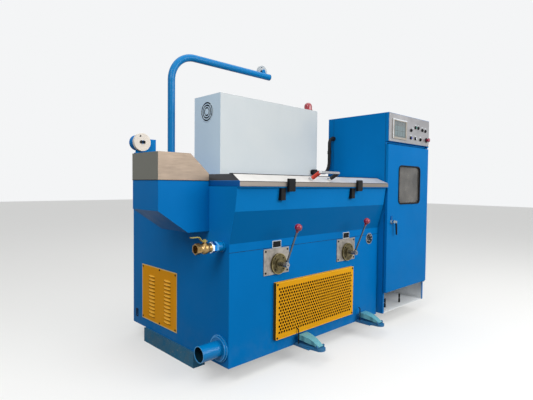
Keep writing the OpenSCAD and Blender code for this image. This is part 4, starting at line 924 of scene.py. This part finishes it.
for material, spots in panel["caps"].items():
    repeatOn(material.name + "_discs", domedCap(panel["capRadius"], panel["capHeight"]),
             panelSpots(spots, capFace), front, material)
tagWidth, tagHeight, tagThick = panel["tag"]
tagSpots = [spot for spots in panel["caps"].values() for spot in spots] + panel["dark"]
repeatOn("button_tags", lambda shape: addBox(shape, (-tagWidth / 2, -tagHeight / 2, 0),
                                             (tagWidth / 2, tagHeight / 2, tagThick)),
         panelSpots(tagSpots, panelLow.y, panel["tagRise"]), front, labelWhite)
repeatOn("panel_screws", capScrew(panel["screwRadius"], panel["screwHeight"]),
         corners(panelLow, panelHigh, panel["screwInset"], (1, panelLow.y)), front, brightSteel)
screen = {"columns": 4, "rows": 2, "margin": 0.014, "gap": 0.006, "proud": 0.0004, "header": 0.03,
          "edge": 0.009}
low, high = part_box("screen_glass")


def screenTiles(shape):
    wide = (high.x - low.x - 2 * screen["margin"] + screen["gap"]) / screen["columns"]
    tall = (high.z - low.z - 2 * screen["margin"] - screen["header"] + screen["gap"]) / screen["rows"]
    for column in range(screen["columns"]):
        for row in range(screen["rows"]):
            x, z = low.x + screen["margin"] + column * wide, low.z + screen["margin"] + row * tall
            addBox(shape, (x, low.y - screen["proud"], z),
                   (x + wide - screen["gap"], low.y, z + tall - screen["gap"]))


screenTone = moulded("screenTone", "#6E7D80", "#637275", rough=(0.3, 0.4), grain=3, relief=0.05)
meshObject("screen_tiles", screenTiles, screenTone)
bezelLow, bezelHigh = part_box("screen_bezel")


# Painted highlight: a pale strip on the left and the top of the surround
def bezelHighlight(shape):
    wide, near, far = screen["edge"], bezelLow.y - screen["proud"], bezelLow.y + sink
    addBox(shape, (bezelLow.x, near, bezelLow.z), (bezelLow.x + wide, far, bezelHigh.z))
    addBox(shape, (bezelLow.x + wide, near, bezelHigh.z - wide), (bezelHigh.x, far, bezelHigh.z))


meshObject("bezel_edges", bezelHighlight, whiteCap)
print("control panel dressed")

# Cabinet: a keyhole in the lock, dark strips of painted shade in the joints on its left side, a cap over the
# upper hinge, and two rubber mounts in the recess
cabinet = {"joint": 0.0022, "jointProud": 0.0004, "joints": (0.03, 0.62), "jointInset": 0.004, "cap": 0.028,
           "mountX": (1.944, 2.221), "mountY": -0.71, "traySheet": 0.003, "keyhole": 0.0055,
           "keyholeRise": 0.014, "keyholeDepth": 0.002,
           "mountTiers": ((0, 0.04, 0.009, 0.002), (0.0395, 0.008, 0.0054, 0),
                          (0.047, 0.041, 0.00855, 0.002))}
low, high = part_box("cabinet_shell")
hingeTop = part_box("door_hinges")[1].z
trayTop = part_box("cabinet_floor")[0].z + cabinet["traySheet"]


def sideJointShade(shape):
    for inset in cabinet["joints"]:
        y = low.y + inset
        addBox(shape, (low.x - cabinet["jointProud"], y, low.z + cabinet["jointInset"]),
               (low.x + sink, y + cabinet["joint"], high.z - cabinet["jointInset"]))


# Rubber mount standing on the origin: a lower and an upper buffer with a thinner neck between them.
# A tier is (start, length, radius, bevel).
def rubberMount(shape):
    for start, length, radius, bevel in cabinet["mountTiers"]:
        addDisc(shape, (0, 0, start), top, radius, length, 24, bevel)


# Sheet cap over the upper hinge, between the door and the control panel
def hingeCap(shape):
    addBox(shape, (high.x - cabinet["cap"], low.y, hingeTop + 0.001),
           (high.x, low.y + cabinet["cap"], panelLow.z + 0.0005), 0.0008)


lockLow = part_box("door_lock")[0]
meshObject("cabinet_side_joints", sideJointShade, labelBlack)
meshObject("hinge_cap", hingeCap, enamel)
repeatOn("rubber_mounts", rubberMount, [(x, cabinet["mountY"], trayTop) for x in cabinet["mountX"]], top,
         blackRubber)
meshObject("keyhole", lambda shape: addDisc(
    shape, (middle("door_lock").x, lockLow.y + sink, lockLow.z + cabinet["keyholeRise"]), front,
    cabinet["keyhole"], cabinet["keyholeDepth"], 24, 0.0005), blackPlastic, "door")
print("cabinet dressed")

# Pedals: painted nuts on the pin of each treadle
pedal = {"cheek": 0.039, "nutRadius": 0.0085, "nutHeight": 0.006}
for joint in frame["joints"]:
    if joint["child"] in ("left_pedal", "right_pedal"):
        x, y, z = joint["pos_m"]
        for side in (-1, 1):
            name = joint["child"] + ("_nut_left" if side < 0 else "_nut_right")
            repeatOn(name, hexNut(pedal["nutRadius"], pedal["nutHeight"]),
                     [(x + side * pedal["cheek"], y, z)], (side, 0, 0), castBlue)
print("pedals dressed")

# Stage: pale floor, white backdrop colour, and soft studio light. The floor and the world are pale where the
# camera, gloss or glass sees them, and quieter for the light they throw on the machine.
stage = {"floorSeen": "#BDBDBB", "floorBounce": "#666664", "glowColour": "#F2F2F1", "floorGlow": 0.42,
         "floorReach": 30, "backdrop": "#F4F5F6", "ambient": 0.44}
reach = stage["floorReach"]
floorMesh = bpy.data.meshes.new("studio_floor")
floorMesh.from_pydata([(-reach, -reach, 0), (reach, -reach, 0), (reach, reach, 0), (-reach, reach, 0)], [],
                      [(0, 1, 2, 3)])
floor = linkObject("studio_floor", floorMesh)


# 1 for a camera, gloss or glass ray, 0 for the rays that carry the bounced light
def seenDirectly(tree):
    path = addNode(tree, "ShaderNodeLightPath")
    gloss = addNode(tree, "ShaderNodeMath", {0: path.outputs["Is Glossy Ray"],
                                             1: path.outputs["Is Transmission Ray"]}, operation="MAXIMUM")
    return addNode(tree, "ShaderNodeMath", {0: path.outputs["Is Camera Ray"], 1: gloss.outputs[0]},
                   operation="MAXIMUM").outputs[0]


floorMaterial, floorTree, floorShader = newFinish("studioFloor", stage["floorBounce"])[:3]
paintOver(floorMaterial, seenDirectly(floorTree), stage["floorSeen"])
floorShader.inputs["Roughness"].default_value = 0.8
floorShader.inputs["Emission Color"].default_value = linear(stage["glowColour"])
floorGlow = addNode(floorTree, "ShaderNodeMath", {0: seenDirectly(floorTree), 1: stage["floorGlow"]},
                    operation="MULTIPLY").outputs[0]
floorTree.links.new(floorGlow, floorShader.inputs["Emission Strength"])
floorShader.inputs["Specular IOR Level"].default_value = 0.2
floorMesh.materials.append(floorMaterial)


def areaLight(name, place, target, size, power, colour=(1, 1, 1)):
    data = bpy.data.lights.new(name, "AREA")
    data.shape = "RECTANGLE"
    data.size, data.size_y = size
    data.energy = power
    data.color = colour
    obj = linkObject(name, data)
    obj.location = place
    obj.rotation_euler = (Vector(target) - Vector(place)).to_track_quat("-Z", "Y").to_euler()
    obj.visible_camera = False


# Soft boxes, in metres and watts
lamps = {
    "overhead": {"place": (1.0, -0.5, 6.0), "target": (1.0, 0.0, 0.8), "size": (7, 6), "power": 150,
                 "colour": (1, 0.99, 0.97)},
    "frontSoft": {"place": (2.6, -6.5, 3.4), "target": (1.2, -0.5, 0.9), "size": (5, 3.5), "power": 345},
    "leftSoft": {"place": (-3.5, -2.5, 4.5), "target": (0.3, -0.2, 1.3), "size": (3, 2.5), "power": 152,
                 "colour": (0.96, 0.98, 1)},
}
for name, lamp in lamps.items():
    areaLight(name, **lamp)
world = bpy.data.worlds.new("studio")
bpy.context.scene.world = world
world.use_nodes = True
worldTree = world.node_tree
backdrop = worldTree.nodes["Background"]
backdrop.inputs["Color"].default_value = linear(stage["backdrop"])
strength = addNode(worldTree, "ShaderNodeMapRange", {"Value": seenDirectly(worldTree),
                                                     "To Min": stage["ambient"]}).outputs["Result"]
worldTree.links.new(strength, backdrop.inputs["Strength"])
bpy.context.scene.view_settings.view_transform = "Standard"
print("stage set")
